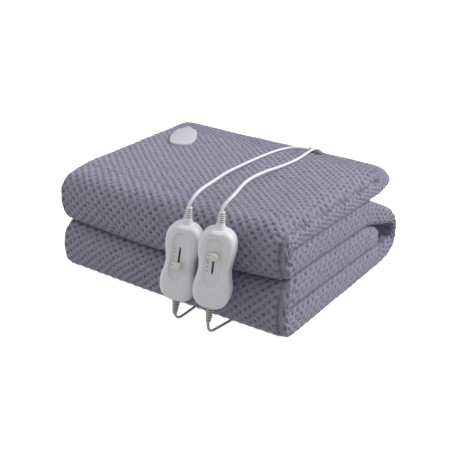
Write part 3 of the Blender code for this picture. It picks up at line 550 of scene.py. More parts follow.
def lead_route(side):
    """The lead's own route points, from its gland round the top layer's end to its relief's tip."""
    gland_x, low = GLAND_X[side], gland_height(side)
    route = [(x, y, z or float(top_height(x, y)) + LEAD_D / 2 + TOUCH) for x, y, z in LEAD_ROUTES[side]]
    high = route[-1][2] + END_CLEAR - TOUCH
    bend_y, reach, half = TOP_END - END_ROUND, END_ROUND + LEAD_D / 2 + END_CLEAR, (high - low) / 2
    points = [(gland_x, GLAND_Y + GLAND_LONG + TOUCH, low)]
    for turn in (-75, -50, -25, 0, 25, 50, 75):
        out, up = superellipse(turn / 90, reach, half, LEAD_OVER)
        share = (turn + 90) / 180
        x = gland_x + (route[-1][0] - gland_x) * share**2
        points.append((x, bend_y + out, low + half + up))
    points.extend(reversed(route))
    base, up = upper_exit(side)
    tip = base + up * (RELIEF_UP_LONG + TOUCH)
    return [*points, tuple(tip + up * LEAD_D), tuple(tip)]


def channel_x(side, y):
    """Where the channel of a mains lead under the stack lies across, at y."""
    front_x, back_x = CHANNELS[side]
    slope = (back_x - front_x) / (DEPTH - 2 * CHANNEL_END)
    return front_x + slope * (y + DEPTH / 2 - CHANNEL_END)


def coil_x(side):
    return CHANNELS[side][1] - COIL_OUT


def mains_route(side):
    """The mains lead from the housing's lower end to the coil, read at an even spacing."""
    place = housing_frame(side)
    base = place @ Vector((0, HOUSING_AXIS, -HOUSING_HALF - TOUCH))
    down = (place.to_3x3() @ Vector((0, 0, -1))).normalized()
    floor = MAINS_D / 2 + FLOOR_CLEAR
    straight = (base.z - floor - MAINS_BEND) / -down.z
    start = base + down * straight
    foot = start.x + down.x * MAINS_BEND
    points = [tuple(base), tuple(base + down * straight / 2), tuple(start)]
    for turn in (22.5, 45, 67.5, 90):
        a = math.radians(turn)
        x = start.x + (foot - start.x) * math.sin(a)
        points.append((x, start.y + MAINS_BEND * (1 - math.cos(a)), floor + MAINS_BEND * (1 - math.sin(a))))
    points += [(channel_x(side, y), y, floor) for y in (-0.152, -0.110, -0.060, 0.0, 0.060, 0.120, 0.160)]
    points.append((coil_x(side) + COIL_OUT, COIL_Y - COIL_BEFORE, floor))
    return smooth_route(points, MAINS_D * 0.25)


def coil_turns(side):
    """The coil: rows of turns on each other, each row wound out to in or in to out, a diameter apart."""
    steps, crossing = 16, 3  # a turn's points, and how many of them it takes to move over to its own place
    order = []
    for row in range(COIL_ROWS):
        columns = range(COIL_COLUMNS) if row % 2 == 0 else reversed(range(COIL_COLUMNS))
        order += [(COIL_OUT - column * MAINS_D, MAINS_D * (row + 0.5) + FLOOR_CLEAR) for column in columns]
    order.append(order[-1])
    points = []
    for number, (radius, height) in enumerate(order):
        before_r, before_z = order[max(0, number - 1)]
        last = number == len(order) - 1
        for step, (c, s) in enumerate(turns(steps)[: steps // 4 if last else steps]):
            share = float(smooth_step(step, 0, crossing))
            r, z = before_r + (radius - before_r) * share, before_z + (height - before_z) * share
            points.append((coil_x(side) + r * c, COIL_Y + r * s, z))
    return points


def plug_tail(side):
    return coil_x(side) - COIL_OUT - TAIL_LONG


def tail_route(side):
    """From the coil's topmost turn, where it leaves it, down to the plug."""
    y, top, plug_z = COIL_Y + COIL_OUT, (COIL_ROWS - 0.5) * MAINS_D + FLOOR_CLEAR, PLUG_THICK / 2
    start, end = coil_x(side) - TAIL_LEAVE, plug_tail(side) + TOUCH
    return [
        (coil_x(side), y, top),
        (start, y, top - TAIL_EASE),
        ((start + end) / 2, y, (top + plug_z) / 2),
        (end + 0.006, y, plug_z + TAIL_EASE),
        (end, y, plug_z),
    ]


def cord_piece(name, points, diameter, finish, replaced):
    """A cord as one Bezier spline that runs smoothly through its route's points, never under the floor."""
    curve = bpy.data.curves.new(name, "CURVE")
    curve.dimensions = "3D"
    curve.bevel_depth = diameter / 2
    curve.bevel_resolution = 3
    curve.use_fill_caps = True
    curve.resolution_u = 6
    spline = curve.splines.new("BEZIER")
    spline.bezier_points.add(len(points) - 1)
    p = np.array(points, float)
    ends = np.vstack([2 * p[0] - p[1], p, 2 * p[-1] - p[-2]])
    lowest = diameter / 2 + FLOOR_CLEAR
    for i, point in enumerate(spline.bezier_points):
        before, here, after = ends[i : i + 3]
        ahead = (after - before) / np.linalg.norm(after - before)
        point.co = here
        point.handle_left_type = point.handle_right_type = "FREE"
        for handle, way, near in (("handle_left", -1, before), ("handle_right", 1, after)):
            x, y, z = here + ahead * (way * np.linalg.norm(near - here) / 3)
            setattr(point, handle, (x, y, max(z, min(lowest, here[2]))))
    made = piece(name, curve, plastic(finish))
    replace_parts(made, *replaced)
    return made


def cord_length(points):
    return round(float(run_lengths(smooth_route(points, 0.001))[-1]), 3)


def make_cords():
    """Both leads and both mains leads with their plugs; gives the leads' routes, which the cloth meets."""
    routes = {}
    for side in SIDES:
        points = lead_route(side)
        routes[side] = smooth_route(points, 0.001)
        lead = cord_piece(f"lead_cord_{side}", points, LEAD_D, "lead_sheath", [f"lead_{side}"])
        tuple(points[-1])
        cord_length(points)
        run = mains_route(side)
        at = np.linspace(RELIEF_DOWN_LONG + 0.004, run_lengths(run)[-1], 34)
        points = [tuple(p) for p in read_route(run, np.r_[RELIEF_DOWN_LONG - 0.001, at])]
        points += coil_turns(side) + tail_route(side)
        plug = make_plug(side)
        mains = cord_piece(f"mains_lead_{side}", points, MAINS_D, "mains_sheath",
                           [f"mains_cord_{side}", f"mains_coil_{side}", f"mains_tail_{side}"])
        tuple(points[0])
        cord_length(points)
    return routes


# ---- the fleece
Station = namedtuple("Station", "y_a z_a y_b z_b bend rim_a rim_b shoulder see_a see_b stretch")
# columns of a station that are read by number; even_stations adds the three arcs
SEE_A, SEE_B, STRETCH, ARC_A, ARC_B, ARC_MIDDLE = range(8, 14)
# the strip's stretches, from the tongue's end to the top's end
TONGUE, LOWER_FOLD, BOTTOM, WRAP, MIDDLE, UPPER_FOLD, TOP = range(7)
STEP_SEEN, STEP_WRAP, STEP_EDGE = 0.0021, 0.0028, 0.0050
# the stations' spacing on each stretch, and the arc along which it is measured
STATION_STEPS = (
    (STEP_EDGE, ARC_MIDDLE), (STEP_SEEN, ARC_A), (STEP_EDGE, ARC_MIDDLE), (STEP_WRAP, ARC_A),
    (STEP_EDGE, ARC_MIDDLE), (STEP_SEEN, ARC_B), (STEP_SEEN, ARC_B),
)
LATTICE_ACROSS, LATTICE_ALONG = 0.0147, 0.0138  # spacing of the dimples along X and along the strip
DIMPLE_COLUMNS = 6.4  # columns of points for each dimple
RIM_COLUMN = 0.9965  # where the outermost inner column lies, as a share of half the width
PLY_STEPS = (0, 0.1, 0.3, 0.5, 0.7, 0.9)  # levels of points through a ply's edge
HIDDEN_EVERY = 20  # a hidden face takes one column out of so many
TOP_SKEW = 0.14  # slope of the lattice's columns on the top layer
DRIFT = 0.0016  # how far the lattice wanders
PILE_TOP = 0.0021  # how far the pile's tips stand over the top of the solid
DIMPLE, DIMPLE_VARIES = 0.0018, 0.35  # a dimple's depth, and how much that varies
RIDGE_A, RIDGE_B = 0.0010, 0.0007  # heights of the two families of diagonal ridges between the dimples
FINE_HIGH, CLUMP_HIGH, SOFT_HIGH = 0.00045, 0.0003, 0.0006  # heights of the pile's own unevenness
PRESS_CLEAR = 0.0002
PRESS_REACH = 0.012  # how far from its axis a lead moves the cloth
RESTING = 0.016  # a lead's axis lies no higher than this over the top where it rests on it
LEAD_GROOVE, COVER_GROOVE = 0.007, 0.005  # how wide the cloth's groove opens beside a lead and the cover
COVER_REACH = 0.006  # how far from its edge the cover moves the cloth
PUCKER = 0.006  # half width of the cloth that is drawn up to a lead at the top layer's end
CHANNEL_WIDE = 0.0085
CHANNEL_NEAR = 0.012  # within this of a channel the underside takes every column


def strip_stations(straight, fold, wrap):
    """The strip's two sides, A and B, station by station, as in the part.

    see_a and see_b say where that side shows, 1 or 0.
    """
    front, back = FOLD_START, DEPTH / 2 - WRAP_REACH
    gap = SLIT / 2
    rim_front = FOLD_REACH - gap - FOLD_RIM
    rows = []

    def layer(start, end, side_a, side_b, shoulder, see_b, stretch):
        for i in range(straight):
            y = start + (end - start) * i / straight
            rows.append(Station(y, side_a, y, side_b, 0.0, 0.0, 0.0, shoulder, 0.0, see_b, stretch))

    def front_fold(way):
        """For each step its turn, the outer and the inner side's place and rise, and the bend."""
        for i in range(fold + 1):
            turn = way * (1 - 2 * i / fold)
            out, up = superellipse(turn, FOLD_REACH, LAYER - gap / 2, FOLD_POWER)
            near, rise = superellipse(turn, gap, gap, 2)
            yield turn, front - out, up, front - near, rise, math.cos(turn * math.pi / 2)

    layer(TONGUE_END, front, 2 * LAYER - gap, LAYER + gap, 0.0, 0.0, TONGUE)
    for _, y_out, up, y_near, rise, bend in front_fold(1):  # from the top down
        high, low, rim = LAYER - gap / 2 + up, LAYER + rise, -bend * rim_front
        rows.append(Station(y_out, high, y_near, low, bend, 0.0, rim, 0.0, 1.0, 0.0, LOWER_FOLD))
    layer(front + LEAVE, back, 0.0, LAYER - gap, 0.0, 0.0, BOTTOM)
    half = (3 * LAYER - gap) / 2
    for i in range(wrap + 1):  # from the bottom up
        turn = -1 + 2 * i / wrap
        out, up = superellipse(turn, WRAP_REACH, half, WRAP_POWER_HIGH if turn > 0 else WRAP_POWER_LOW)
        near, rise = superellipse(turn, WRAP_REACH - WRAP_THICK, LAYER / 2 + gap, WRAP_POWER_LOW)
        bend = math.cos(turn * math.pi / 2)
        outer, inner = (back + out, half + up), (back + near, 1.5 * LAYER + rise)
        rows.append(Station(*outer, *inner, bend, 0.0, bend * (WRAP_THICK - WRAP_RIM), 0.0, 1.0, 0.0, WRAP))
    layer(back - LEAVE, front, 3 * LAYER - gap, 2 * LAYER + gap, 0.0, 0.0, MIDDLE)
    for turn, y_out, up, y_near, rise, bend in front_fold(-1):  # from the bottom up
        low, high, rim = 3 * LAYER + rise, 3 * LAYER + gap / 2 + up, -bend * rim_front
        rows.append(Station(y_near, low, y_out, high, bend, rim, 0.0, max(0.0, turn), 0.0, 1.0, UPPER_FOLD))
    layer(front + LEAVE, TOP_END, 3 * LAYER + gap, 4 * LAYER, 1.0, 1.0, TOP)
    rows.append(Station(TOP_END, 3 * LAYER + gap, TOP_END, 4 * LAYER, 0.0, 0.0, 0.0, 1.0, 0.0, 1.0, TOP))
    return np.array(rows)


def even_stations():
    """Stations read again at the spacing that each stretch needs, with both sides' and the middle's arcs."""
    fine = strip_stations(300, 700, 500)
    side_a, side_b = fine[:, 0:2], fine[:, 2:4]
    arcs = [run_lengths(line) for line in (side_a, side_b, (side_a + side_b) / 2)]
    fine = np.hstack([fine, np.stack(arcs, 1)])
    rows = []
    for stretch, (spacing, guide) in enumerate(STATION_STEPS):
        at = np.nonzero(fine[:, STRETCH] == stretch)[0]
        last = stretch == TOP
        if not last:
            at = np.r_[at, at[-1] + 1]
        run = fine[at, guide]
        count = max(2, round((run[-1] - run[0]) / spacing))
        want = np.linspace(run[0], run[-1], count + 1)
        if not last:
            want = want[:-1]
        read = np.stack([np.interp(want, run, column) for column in fine[at].T], 1)
        read[:, SEE_A : STRETCH + 1] = fine[at[0], SEE_A : STRETCH + 1]
        rows.append(read)
    return np.vstack(rows)


def ply_profile(w):
    """1 on a ply's crown and 0 in the groove between two plies; the last two plies are one small fold."""
    place = (w + 1) / 2 * PLIES
    crown = np.sqrt(np.maximum(0, 1 - (2 * (place - np.floor(np.minimum(place, PLIES - 1e-6))) - 1) ** 2))
    return np.where(np.abs(w - 0.5) < 0.2, np.maximum(crown, 0.75), crown)


def rounded(w, power):
    return 1 - (1 - np.minimum(1.0, np.abs(w)) ** power) ** (1 / power)


def shoulder_drop(v, across):
    """0 until the last part of the width, across wide, and then a quarter circle down to 1."""
    reach = 2 * across / WIDTH
    edge = np.clip((v - 1 + reach) / reach, 0, 1)
    return 1 - np.sqrt(1 - edge**2)


def end_share(rows):
    """How far a station has come into a free end's rounding, 0 to 1 over the last fifth of its layer."""
    y, stretch = rows[:, 2], rows[:, STRETCH]
    share = 0.0
    for number, start, end in ((TONGUE, FOLD_START, TONGUE_END), (TOP, FOLD_START + LEAVE, TOP_END)):
        begin = end - (end - start) / 5
        share = np.where(stretch == number, np.clip((y - begin) / (end - begin), 0, 1), share)
    return share


def strip_points(rows, v, w):
    """Points of the strip: v across from -1 (left) to 1 (right), w through it from -1 (A) to 1 (B)."""
    y_a, z_a, y_b, z_b, bend, rim_a, rim_b, shoulder = rows[:, :8].T
    end = end_share(rows)
    groove = PLY_GROOVE * (1 - ply_profile(w))
    to_right = np.maximum(0.0, v)
    rim = np.maximum(0.0, (v - RIM_FROM) / (1 - RIM_FROM)) ** 2
    front = smooth_step(-y_b, -LEFT_BACK, -LEFT_FRONT)
    drop = SHOULDER_DOWN * shoulder_drop(v, SHOULDER_ACROSS)
    drop += LEFT_DOWN * front * shoulder_drop(-v, LEFT_ACROSS)
    y_a, y_b = y_a + rim_a * rim, y_b + rim_b * rim
    z_b = z_b - shoulder * drop
    mix = (w + 1) / 2
    y = y_a * (1 - mix) + y_b * mix
    z = z_a * (1 - mix) + z_b * mix
    right = WIDTH / 2 - RIGHT_ROUND * rounded(w, EDGE_POWER) - END_CORNER_IN * end
    left = -WIDTH / 2 + groove + LEFT_IN * np.maximum(0.0, z / (2 * LAYER) - 1)
    y = y + np.where(y < 0, FOLD_CORNER * bend * rounded(to_right, CORNER_POWER), 0.0)
    corner_right, corner_left = rounded(v, CORNER_POWER), rounded(v, CORNER_POWER_LEFT)
    corner = np.where(v > 0, END_CORNER * corner_right, END_CORNER_LEFT * corner_left)
    y = y - end * (END_ROUND * rounded(w, END_POWER) + groove * (1 - to_right**4) + corner)
    x = left + (right - left) * (v + 1) / 2
    return np.stack([x, y, z], 1)


def column_sets(across):
    """Indices of the columns that a seen face, a hidden face and the underside with its channels take."""
    seen = list(range(len(across)))
    hidden = sorted({0, len(across) - 1, *range(0, len(across), HIDDEN_EVERY)})
    near = [
        i for i, x in enumerate(across * WIDTH / 2)
        if any(min(pair) - CHANNEL_NEAR < x < max(pair) + CHANNEL_NEAR for pair in CHANNELS.values())
    ]
    return seen, hidden, sorted({*hidden, *near})


def fleece_faces(rows, across, deep):
    """The skin's vertices, each by its station, column and level through the strip, and its faces."""
    seen, hidden, under = column_sets(across)
    last = len(rows) - 1
    sets_a = [seen if row[SEE_A] > 0.5 else under if row[STRETCH] == BOTTOM else hidden for row in rows]
    sets_b = [seen if row[SEE_B] > 0.5 else hidden for row in rows]
    sets_a[last] = sets_b[last] = seen
    sets_a[0] = sets_b[0] = hidden
    index, faces = {}, []

    def corner(i, j, k):
        return index.setdefault((i, j, k), len(index))

    for sets, k in ((sets_a, 0), (sets_b, deep)):
        for i in range(last):
            low, high = sets[i], sets[i + 1]
            shared = sorted(set(low) & set(high))
            for c0, c1 in zip(shared, shared[1:]):
                near = [corner(i, j, k) for j in low if c0 <= j <= c1]
                far = [corner(i + 1, j, k) for j in reversed(high) if c0 <= j <= c1]
                faces.append(tuple(near + far))
    edges = [((i, j), (i + 1, j)) for j in (0, len(across) - 1) for i in range(last)]
    for i, columns in ((0, hidden), (last, seen)):
        edges += [((i, j0), (i, j1)) for j0, j1 in zip(columns, columns[1:])]
    for near, far in edges:
        for k in range(deep):
            faces.append((corner(*near, k), corner(*far, k), corner(*far, k + 1), corner(*near, k + 1)))
    return np.array(list(index)), faces


def make_fleece(routes):
    """The blanket's skin: the strip's sides with their plies, and the pile's relief on what shows."""
    rows = even_stations()
    count = round(WIDTH / (LATTICE_ACROSS / DIMPLE_COLUMNS))
    across = np.r_[-1, -RIM_COLUMN, np.linspace(-1, 1, count + 1)[1:-1], RIM_COLUMN, 1]
    through = np.r_[[-1 + 2 * (ply + f) / PLIES for ply in range(PLIES) for f in PLY_STEPS], 1]
    deep = len(through) - 1
    keys, faces = fleece_faces(rows, across, deep)
    at, v, w = rows[keys[:, 0]], across[keys[:, 1]], through[keys[:, 2]]
    points = strip_points(at, v, w)
    points[:, 2] = real_height(*points.T)
    mesh = closed_mesh("fleece", points, faces)
    normals = np.array([tuple(n.vector) for n in mesh.vertex_normals])
    on_a, on_b = keys[:, 2] == 0, keys[:, 2] == deep
    on_edge = ~(on_a | on_b) | (keys[:, 1] == 0) | (keys[:, 1] == len(across) - 1)
    lift, across_at, along_at = relief(points, at, w, on_a, on_b, on_edge)
    points = press(points + normals * lift[:, None], at, on_a, on_b, routes)
    mesh.vertices.foreach_set("co", points.astype(np.float32).ravel())
    for name, values in (("across", across_at), ("along", along_at)):
        mesh.attributes.new(name, "FLOAT", "POINT").data.foreach_set("value", values.astype(np.float32))
    mesh.update()
    fleece = piece("fleece_blanket", mesh, fleece_material())
    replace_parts(fleece, "blanket")


def noise_at(points, scale):
    """Smooth noise at each point, -1 to 1."""
    return np.array([noise.noise(Vector(p)) for p in points * scale])


def relief(points, at, w, on_a, on_b, on_edge):
    """How far each point moves out along its normal, and its place on the lattice of dimples."""
    x, y, _ = points.T
    arcs = np.where(on_a, at[:, ARC_A], np.where(on_b, at[:, ARC_B], at[:, ARC_MIDDLE]))
    run = np.where(on_edge, WIDTH / 2 + (1 - w) * LAYER / 2, x)
    top = at[:, STRETCH] == TOP
    skew = np.where(top, -TOP_SKEW * (y + DEPTH / 2 - FOLD_REACH), 0.0)
    fine, clump = noise_at(points, 330), noise_at(points, 120)
    soft = noise_at(points + (0.2, 0, 0), (14, 14, 20))
    across = (run - skew + DRIFT * noise_at(points, 22)) / LATTICE_ACROSS
    along = (arcs + DRIFT * noise_at(points + 0.41, 22)) / LATTICE_ALONG
    a, b = np.pi * (across + along), np.pi * (across - along)
    pit = (np.cos(a) * np.cos(b)) ** 4 * (1 + DIMPLE_VARIES * clump)
    rise = RIDGE_A * np.sin(a) ** 4 + RIDGE_B * np.sin(b) ** 4 - DIMPLE * pit
    shown = np.where(on_a, at[:, SEE_A], np.where(on_b, at[:, SEE_B], 1.0))
    shown = np.where(on_edge, 1.0, shown)
    lift = shown * (rise + FINE_HIGH * fine + CLUMP_HIGH * clump + SOFT_HIGH * soft)
    lift += np.where(top & on_b, PILE_TOP - (RIDGE_A + RIDGE_B) / 2, 0.0)
    return lift, across, along


def press_under(points, some, route):
    """Lays a groove in some of the points under a lead, where that rests on the top."""
    height = route[:, 2] - top_height(route[:, 0], route[:, 1])
    resting = route[(height < RESTING) & (route[:, 1] < TOP_END - END_ROUND)]
    for chunk in np.array_split(some, 24):
        far = ((points[chunk, None, :2] - resting[None, :, :2]) ** 2).sum(2)
        near = far.argmin(1)
        d = np.sqrt(far[np.arange(len(chunk)), near])
        room = resting[near, 2] - LEAD_D / 2 - PRESS_CLEAR + np.maximum(0, d - 0.001) ** 2 / LEAD_GROOVE
        points[chunk, 2] = np.minimum(points[chunk, 2], np.where(d < PRESS_REACH, room, 1.0))


def draw_up(points, some, route):
    """Draws some of the points at the top layer's end up to the lead that bends round it."""
    round_end = route[(route[:, 1] > 0.134) & (route[:, 2] > 0.135)]
    for i in some:
        off = round_end - points[i]
        far = np.linalg.norm(off, axis=1)
        near = far.argmin()
        if LEAD_D / 2 < far[near] < PRESS_REACH:
            pull = (far[near] - LEAD_D / 2 - 0.0001) * math.exp(-((off[near, 0] / PUCKER) ** 2))
            points[i] += off[near] / far[near] * pull


def press_cover(points):
    """How far each of the points has to go down to lie under the cover, or beside it in its groove."""
    place = cover_frame().inverted()
    local = np.array([tuple(place @ Vector(p)) for p in points])
    outline = np.array(COVER_OUTLINE)
    wide = np.interp(local[:, 1], outline[::-1, 1], outline[::-1, 0], left=0, right=0)
    beyond = np.maximum(local[:, 1] - outline[0, 1], outline[-1, 1] - local[:, 1])
    gap = np.maximum(np.abs(local[:, 0]) - wide, beyond)
    room = -PRESS_CLEAR + np.maximum(0, gap) ** 2 / COVER_GROOVE
    return np.maximum(0, local[:, 2] - room) * (gap < COVER_REACH)


def press(points, at, on_a, on_b, routes):
    """The pile is pressed down by the leads and the cover, and lifted over the mains channels."""
    x, y, z = points.T
    top = (at[:, STRETCH] >= UPPER_FOLD) & on_b
    for side in SIDES:
        press_under(points, np.nonzero(top & (x > 0) & (x < 0.16))[0], routes[side])
        at_end = (at[:, STRETCH] == TOP) & (y > 0.130) & (z > 0.125) & (np.abs(x - GLAND_X[side]) < 0.045)
        draw_up(points, np.nonzero(at_end)[0], routes[side])
        over = CHANNEL_HIGH * np.clip(1 - ((x - channel_x(side, y)) / CHANNEL_WIDE) ** 2, 0, 1)
        low = on_a & (z < 0.02)
        z[low] = np.maximum(z[low], over[low])
    z[:] = np.maximum(z, 0.0)
    z[top] -= press_cover(points[top])
    return points


def cover_frame():
    """The cover's own frame: x and y in its plane, y to its point, z up from the cloth."""
    cx, cy = COVER_CENTRE
    step = 0.03
    slope_x = float(top_height(cx + step, cy) - top_height(cx - step, cy)) / (2 * step)
    slope_y = float(top_height(cx, cy + step) - top_height(cx, cy - step)) / (2 * step)
    normal = Vector((-slope_x, -slope_y, 1)).normalized()
    tilt = Vector((0, 0, 1)).rotation_difference(normal).to_matrix().to_4x4()
    place = Matrix.Translation((cx, cy, float(top_height(cx, cy)) + COVER_CLEAR))
    return place @ tilt @ Matrix.Rotation(math.radians(COVER_TURN), 4, "Z")


# ---- controllers
SEAM_OUT, SEAM_DEEP, SEAM_WIDE = 0.0105, 0.0004, 0.0005  # parting line round a housing's side
# columns: inset from the edge, distance out of the back face
HOUSING_PROFILE = (
    (0.0050, 0.0), (0.0032, 0.0004), (0.0018, 0.0012), (0.0008, 0.0025), (0.0002, 0.0038), (0.0, 0.0052),
    (0.0, SEAM_OUT - SEAM_WIDE), (SEAM_DEEP, SEAM_OUT - SEAM_WIDE / 2), (SEAM_DEEP, SEAM_OUT + SEAM_WIDE / 2),
    (0.0, SEAM_OUT + SEAM_WIDE), (0.0, 0.0155), (0.0002, 0.0180), (0.0006, 0.0200), (0.0013, 0.0218),
    (0.0022, 0.0232), (0.0033, 0.0243), (0.0046, 0.0251), (0.0060, 0.0256), (0.0074, 0.0259),
)
# columns: inset from the dish's edge, depth in the dish
DISH_PROFILE = ((0.0, 0.0002), (0.0005, 0.0010), (0.0010, 0.0018), (0.0016, DISH_DEEP))
# columns: inset, distance out of the dish's floor
TAB_PROFILE = (
    (0.0003, 0.0), (0.0, 0.0003), (0.0, 0.0022), (0.0003, 0.0027), (0.0009, 0.0030), (0.0020, TAB_THICK),
)
# columns: share of the knob's radius, distance out of the dish's floor
KNOB_PROFILE = (
    (1.0, 0.0020), (1.0, 0.0040), (0.985, 0.0048), (0.94, 0.0056), (0.86, 0.0063), (0.74, 0.0069),
    (0.55, 0.0074), (0.30, 0.0076),
)
# columns: share of the stem's size, distance out of the dish's floor
STEM_PROFILE = ((1.0, 0.0008), (1.0, -STEM_DEEP + 0.0002), (0.85, -STEM_DEEP))
MARK_X, MARK_R, MARK_HIGH = -0.0080, 0.00095, 0.00006  # printed dots beside the slot
RELIEF_SIDES, RELIEF_STEPS = 40, 72
RELIEF_SLOT = 0.30  # half of a slot's width, as a share of the pitch
RELIEF_DEEP = 0.0013
RELIEF_UP_RADII, RELIEF_DOWN_RADII = (0.0058, 0.0042), (0.0062, 0.0034)  # at the housing and at the tip
# columns: share of the cover's outline, height over its underside
COVER_PROFILE = (
    (0.985, 0.0), (0.998, 0.0003), (1.0, 0.0008), (1.0, 0.0029), (0.996, 0.0034), (0.986, 0.0038),
    (0.970, 0.0041), (0.950, 0.0042),
)
PLUG_GRIP, PLUG_END = 0.010, 0.0428  # from the plug's tail to its body, and to the bevel of its face
# columns: distance from the plug's tail, half width, half thickness
PLUG_PROFILE = (
    (0.0, 0.0038, 0.0036), (0.0004, 0.0042, 0.0040), (PLUG_GRIP, 0.0056, 0.0050),
    (0.013, 0.0100, PLUG_THICK / 2), (0.020, 0.0150, PLUG_THICK / 2), (0.027, PLUG_WIDE / 2, PLUG_THICK / 2),
    (PLUG_END, PLUG_WIDE / 2, PLUG_THICK / 2),
    (PLUG_GRIP + PLUG_LONG, PLUG_WIDE / 2 - 0.001, PLUG_THICK / 2 - 0.001),
)
RIB_HIGH, RIB_PITCH = 0.0006, 0.0024
RIBS_TAIL, RIBS_FROM, RIBS_TO = 0.0095, 0.0145, 0.0260  # where the ribs of the tail end, and the grip's lie


def half_width(z):
    """Half of the housing's width at a place along it."""
    lobe = HOUSING_UPPER if z > 0 else HOUSING_LOWER
    straight = HOUSING_HALF - HOUSING_END
    if abs(z) < straight:
        return lobe - (lobe - HOUSING_WAIST) * (0.5 + 0.5 * math.cos(math.pi * z / straight))
    into = (abs(z) - straight) / (HOUSING_END + HOUSING_FLAT)
    return lobe * (1 - into**HOUSING_POWER) ** (1 / HOUSING_POWER)


def peanut(inset, points):
    """The housing's outline, in from its edge by inset: two lobes joined by a slow waist."""
    ring = []
    for c, s in turns(points):
        z = max(-HOUSING_HALF, min(HOUSING_HALF, (HOUSING_HALF + HOUSING_FLAT) * s))
        wide = half_width(z)
        share = 1 - inset / (wide if abs(z) < HOUSING_HALF - HOUSING_END else HOUSING_END)
        ring.append((math.copysign(wide * share, c), z * (1 - inset / HOUSING_HALF)))
    return ring


def dish(inset, points):
    """The dished area's outline: round ends, a little wider at the bottom."""
    ring = []
    middle, half = (DISH_TOP + DISH_BOTTOM) / 2, (DISH_TOP - DISH_BOTTOM) / 2 - inset
    for c, s in turns(points):
        wide = (DISH_HALF_TOP + DISH_HALF_BOTTOM) / 2 - (DISH_HALF_BOTTOM - DISH_HALF_TOP) / 2 * s - inset
        into = max(0.0, (abs(half * s) - half + wide) / wide)
        across = math.copysign(wide * math.sqrt(max(0.0, 1 - into * into)), c)
        ring.append((SLOT_X + across, middle + half * s))
    return ring


def slot_outline(inset, points):
    """The slot's outline: a long, narrow opening with round ends."""
    low, high = TRACK_LOW - STEM_LONG / 2 - TOUCH, TRACK_HIGH + STEM_LONG / 2 + TOUCH
    half = SLOT_WIDE / 2 - inset, (high - low) / 2 - inset
    return power_ring((SLOT_X, (low + high) / 2), half, (2 / SLOT_POWER, 2 / SLOT_POWER), points)


def track_place(share):
    return TRACK_LOW + (TRACK_HIGH - TRACK_LOW) * share


def between(ring_a, ring_b, share):
    return [tuple(p + (q - p) * share for p, q in zip(a, b)) for a, b in zip(ring_a, ring_b)]


def make_housing(side):
    """Smooth rounded shell with a parting line, a dished area with the slot, the neck and printed dots."""
    count = 160
    place = housing_frame(side)
    face, floor = -HOUSING_THICK, DISH_DEEP - HOUSING_THICK
    rings = [ring_at(-out, peanut(inset, count)) for inset, out in HOUSING_PROFILE]
    rim = ring_at(face, dish(-0.0006, count))
    rings += [between(rings[-1], rim, share) for share in (0.33, 0.66)] + [rim]
    rings += [ring_at(face + deep, dish(inset, count)) for inset, deep in DISH_PROFILE]
    lip = ring_at(floor, slot_outline(-0.0003, count))
    rings += [between(rings[-1], lip, share) for share in (0.3, 0.7)] + [lip]
    first_dark = (len(rings) - 1) * count
    rings += [ring_at(floor + deep, slot_outline(0.0, count)) for deep in (0.0002, 0.0030, STEM_DEEP)]
    replaced = f"controller_{side}"
    housing = hard_piece(f"housing_{side}", rings, place, "shell", replaced, sharp=60)
    # the slot's walls and floor take the dark finish, as painted shade for the opening into the housing
    housing.data.materials.append(plastic("slot_dark"))
    for face_index in [*range(first_dark, (len(rings) - 1) * count), len(housing.data.polygons) - 1]:
        housing.data.polygons[face_index].material_index = 1
    table = np.array(NECK)
    heights = [(up, 1.0) for up in np.linspace(table[0, 0], NECK_LONG, 16)]
    rings = []
    for up, share in [*heights, (NECK_LONG + 0.0003, 0.93)]:
        wide, thick = (float(np.interp(up, table[:, 0], table[:, k])) for k in (1, 2))
        middle = Vector((0, HOUSING_AXIS, HOUSING_HALF + up))
        rings.append(circle(middle, share, Vector((wide, 0, 0)), Vector((0, thick, 0)), 48))
    hard_piece(f"housing_neck_{side}", rings, place, "shell", replaced)
    places = [(MARK_X, track_place(i / (SETTINGS - 1))) for i in range(SETTINGS)]
    make_dots(f"heat_marks_{side}", places, floor, place, "root")


def make_dots(name, places, out, place, body):
    """Small flat printed dots, each a low disc that stands a hair out of its surface."""
    vertices, faces = [], []
    for x, z in places:
        rings = [
            [place @ Vector((x + MARK_R * c, out - high, z + MARK_R * s)) for c, s in turns(20)]
            for high in (-0.0001, MARK_HIGH)
        ]
        disc, around = skin_rings(rings)
        faces += [tuple(len(vertices) + corner for corner in face) for face in around]
        vertices += disc
    piece(name, closed_mesh(name, vertices, faces), plastic("slot_dark"), body)


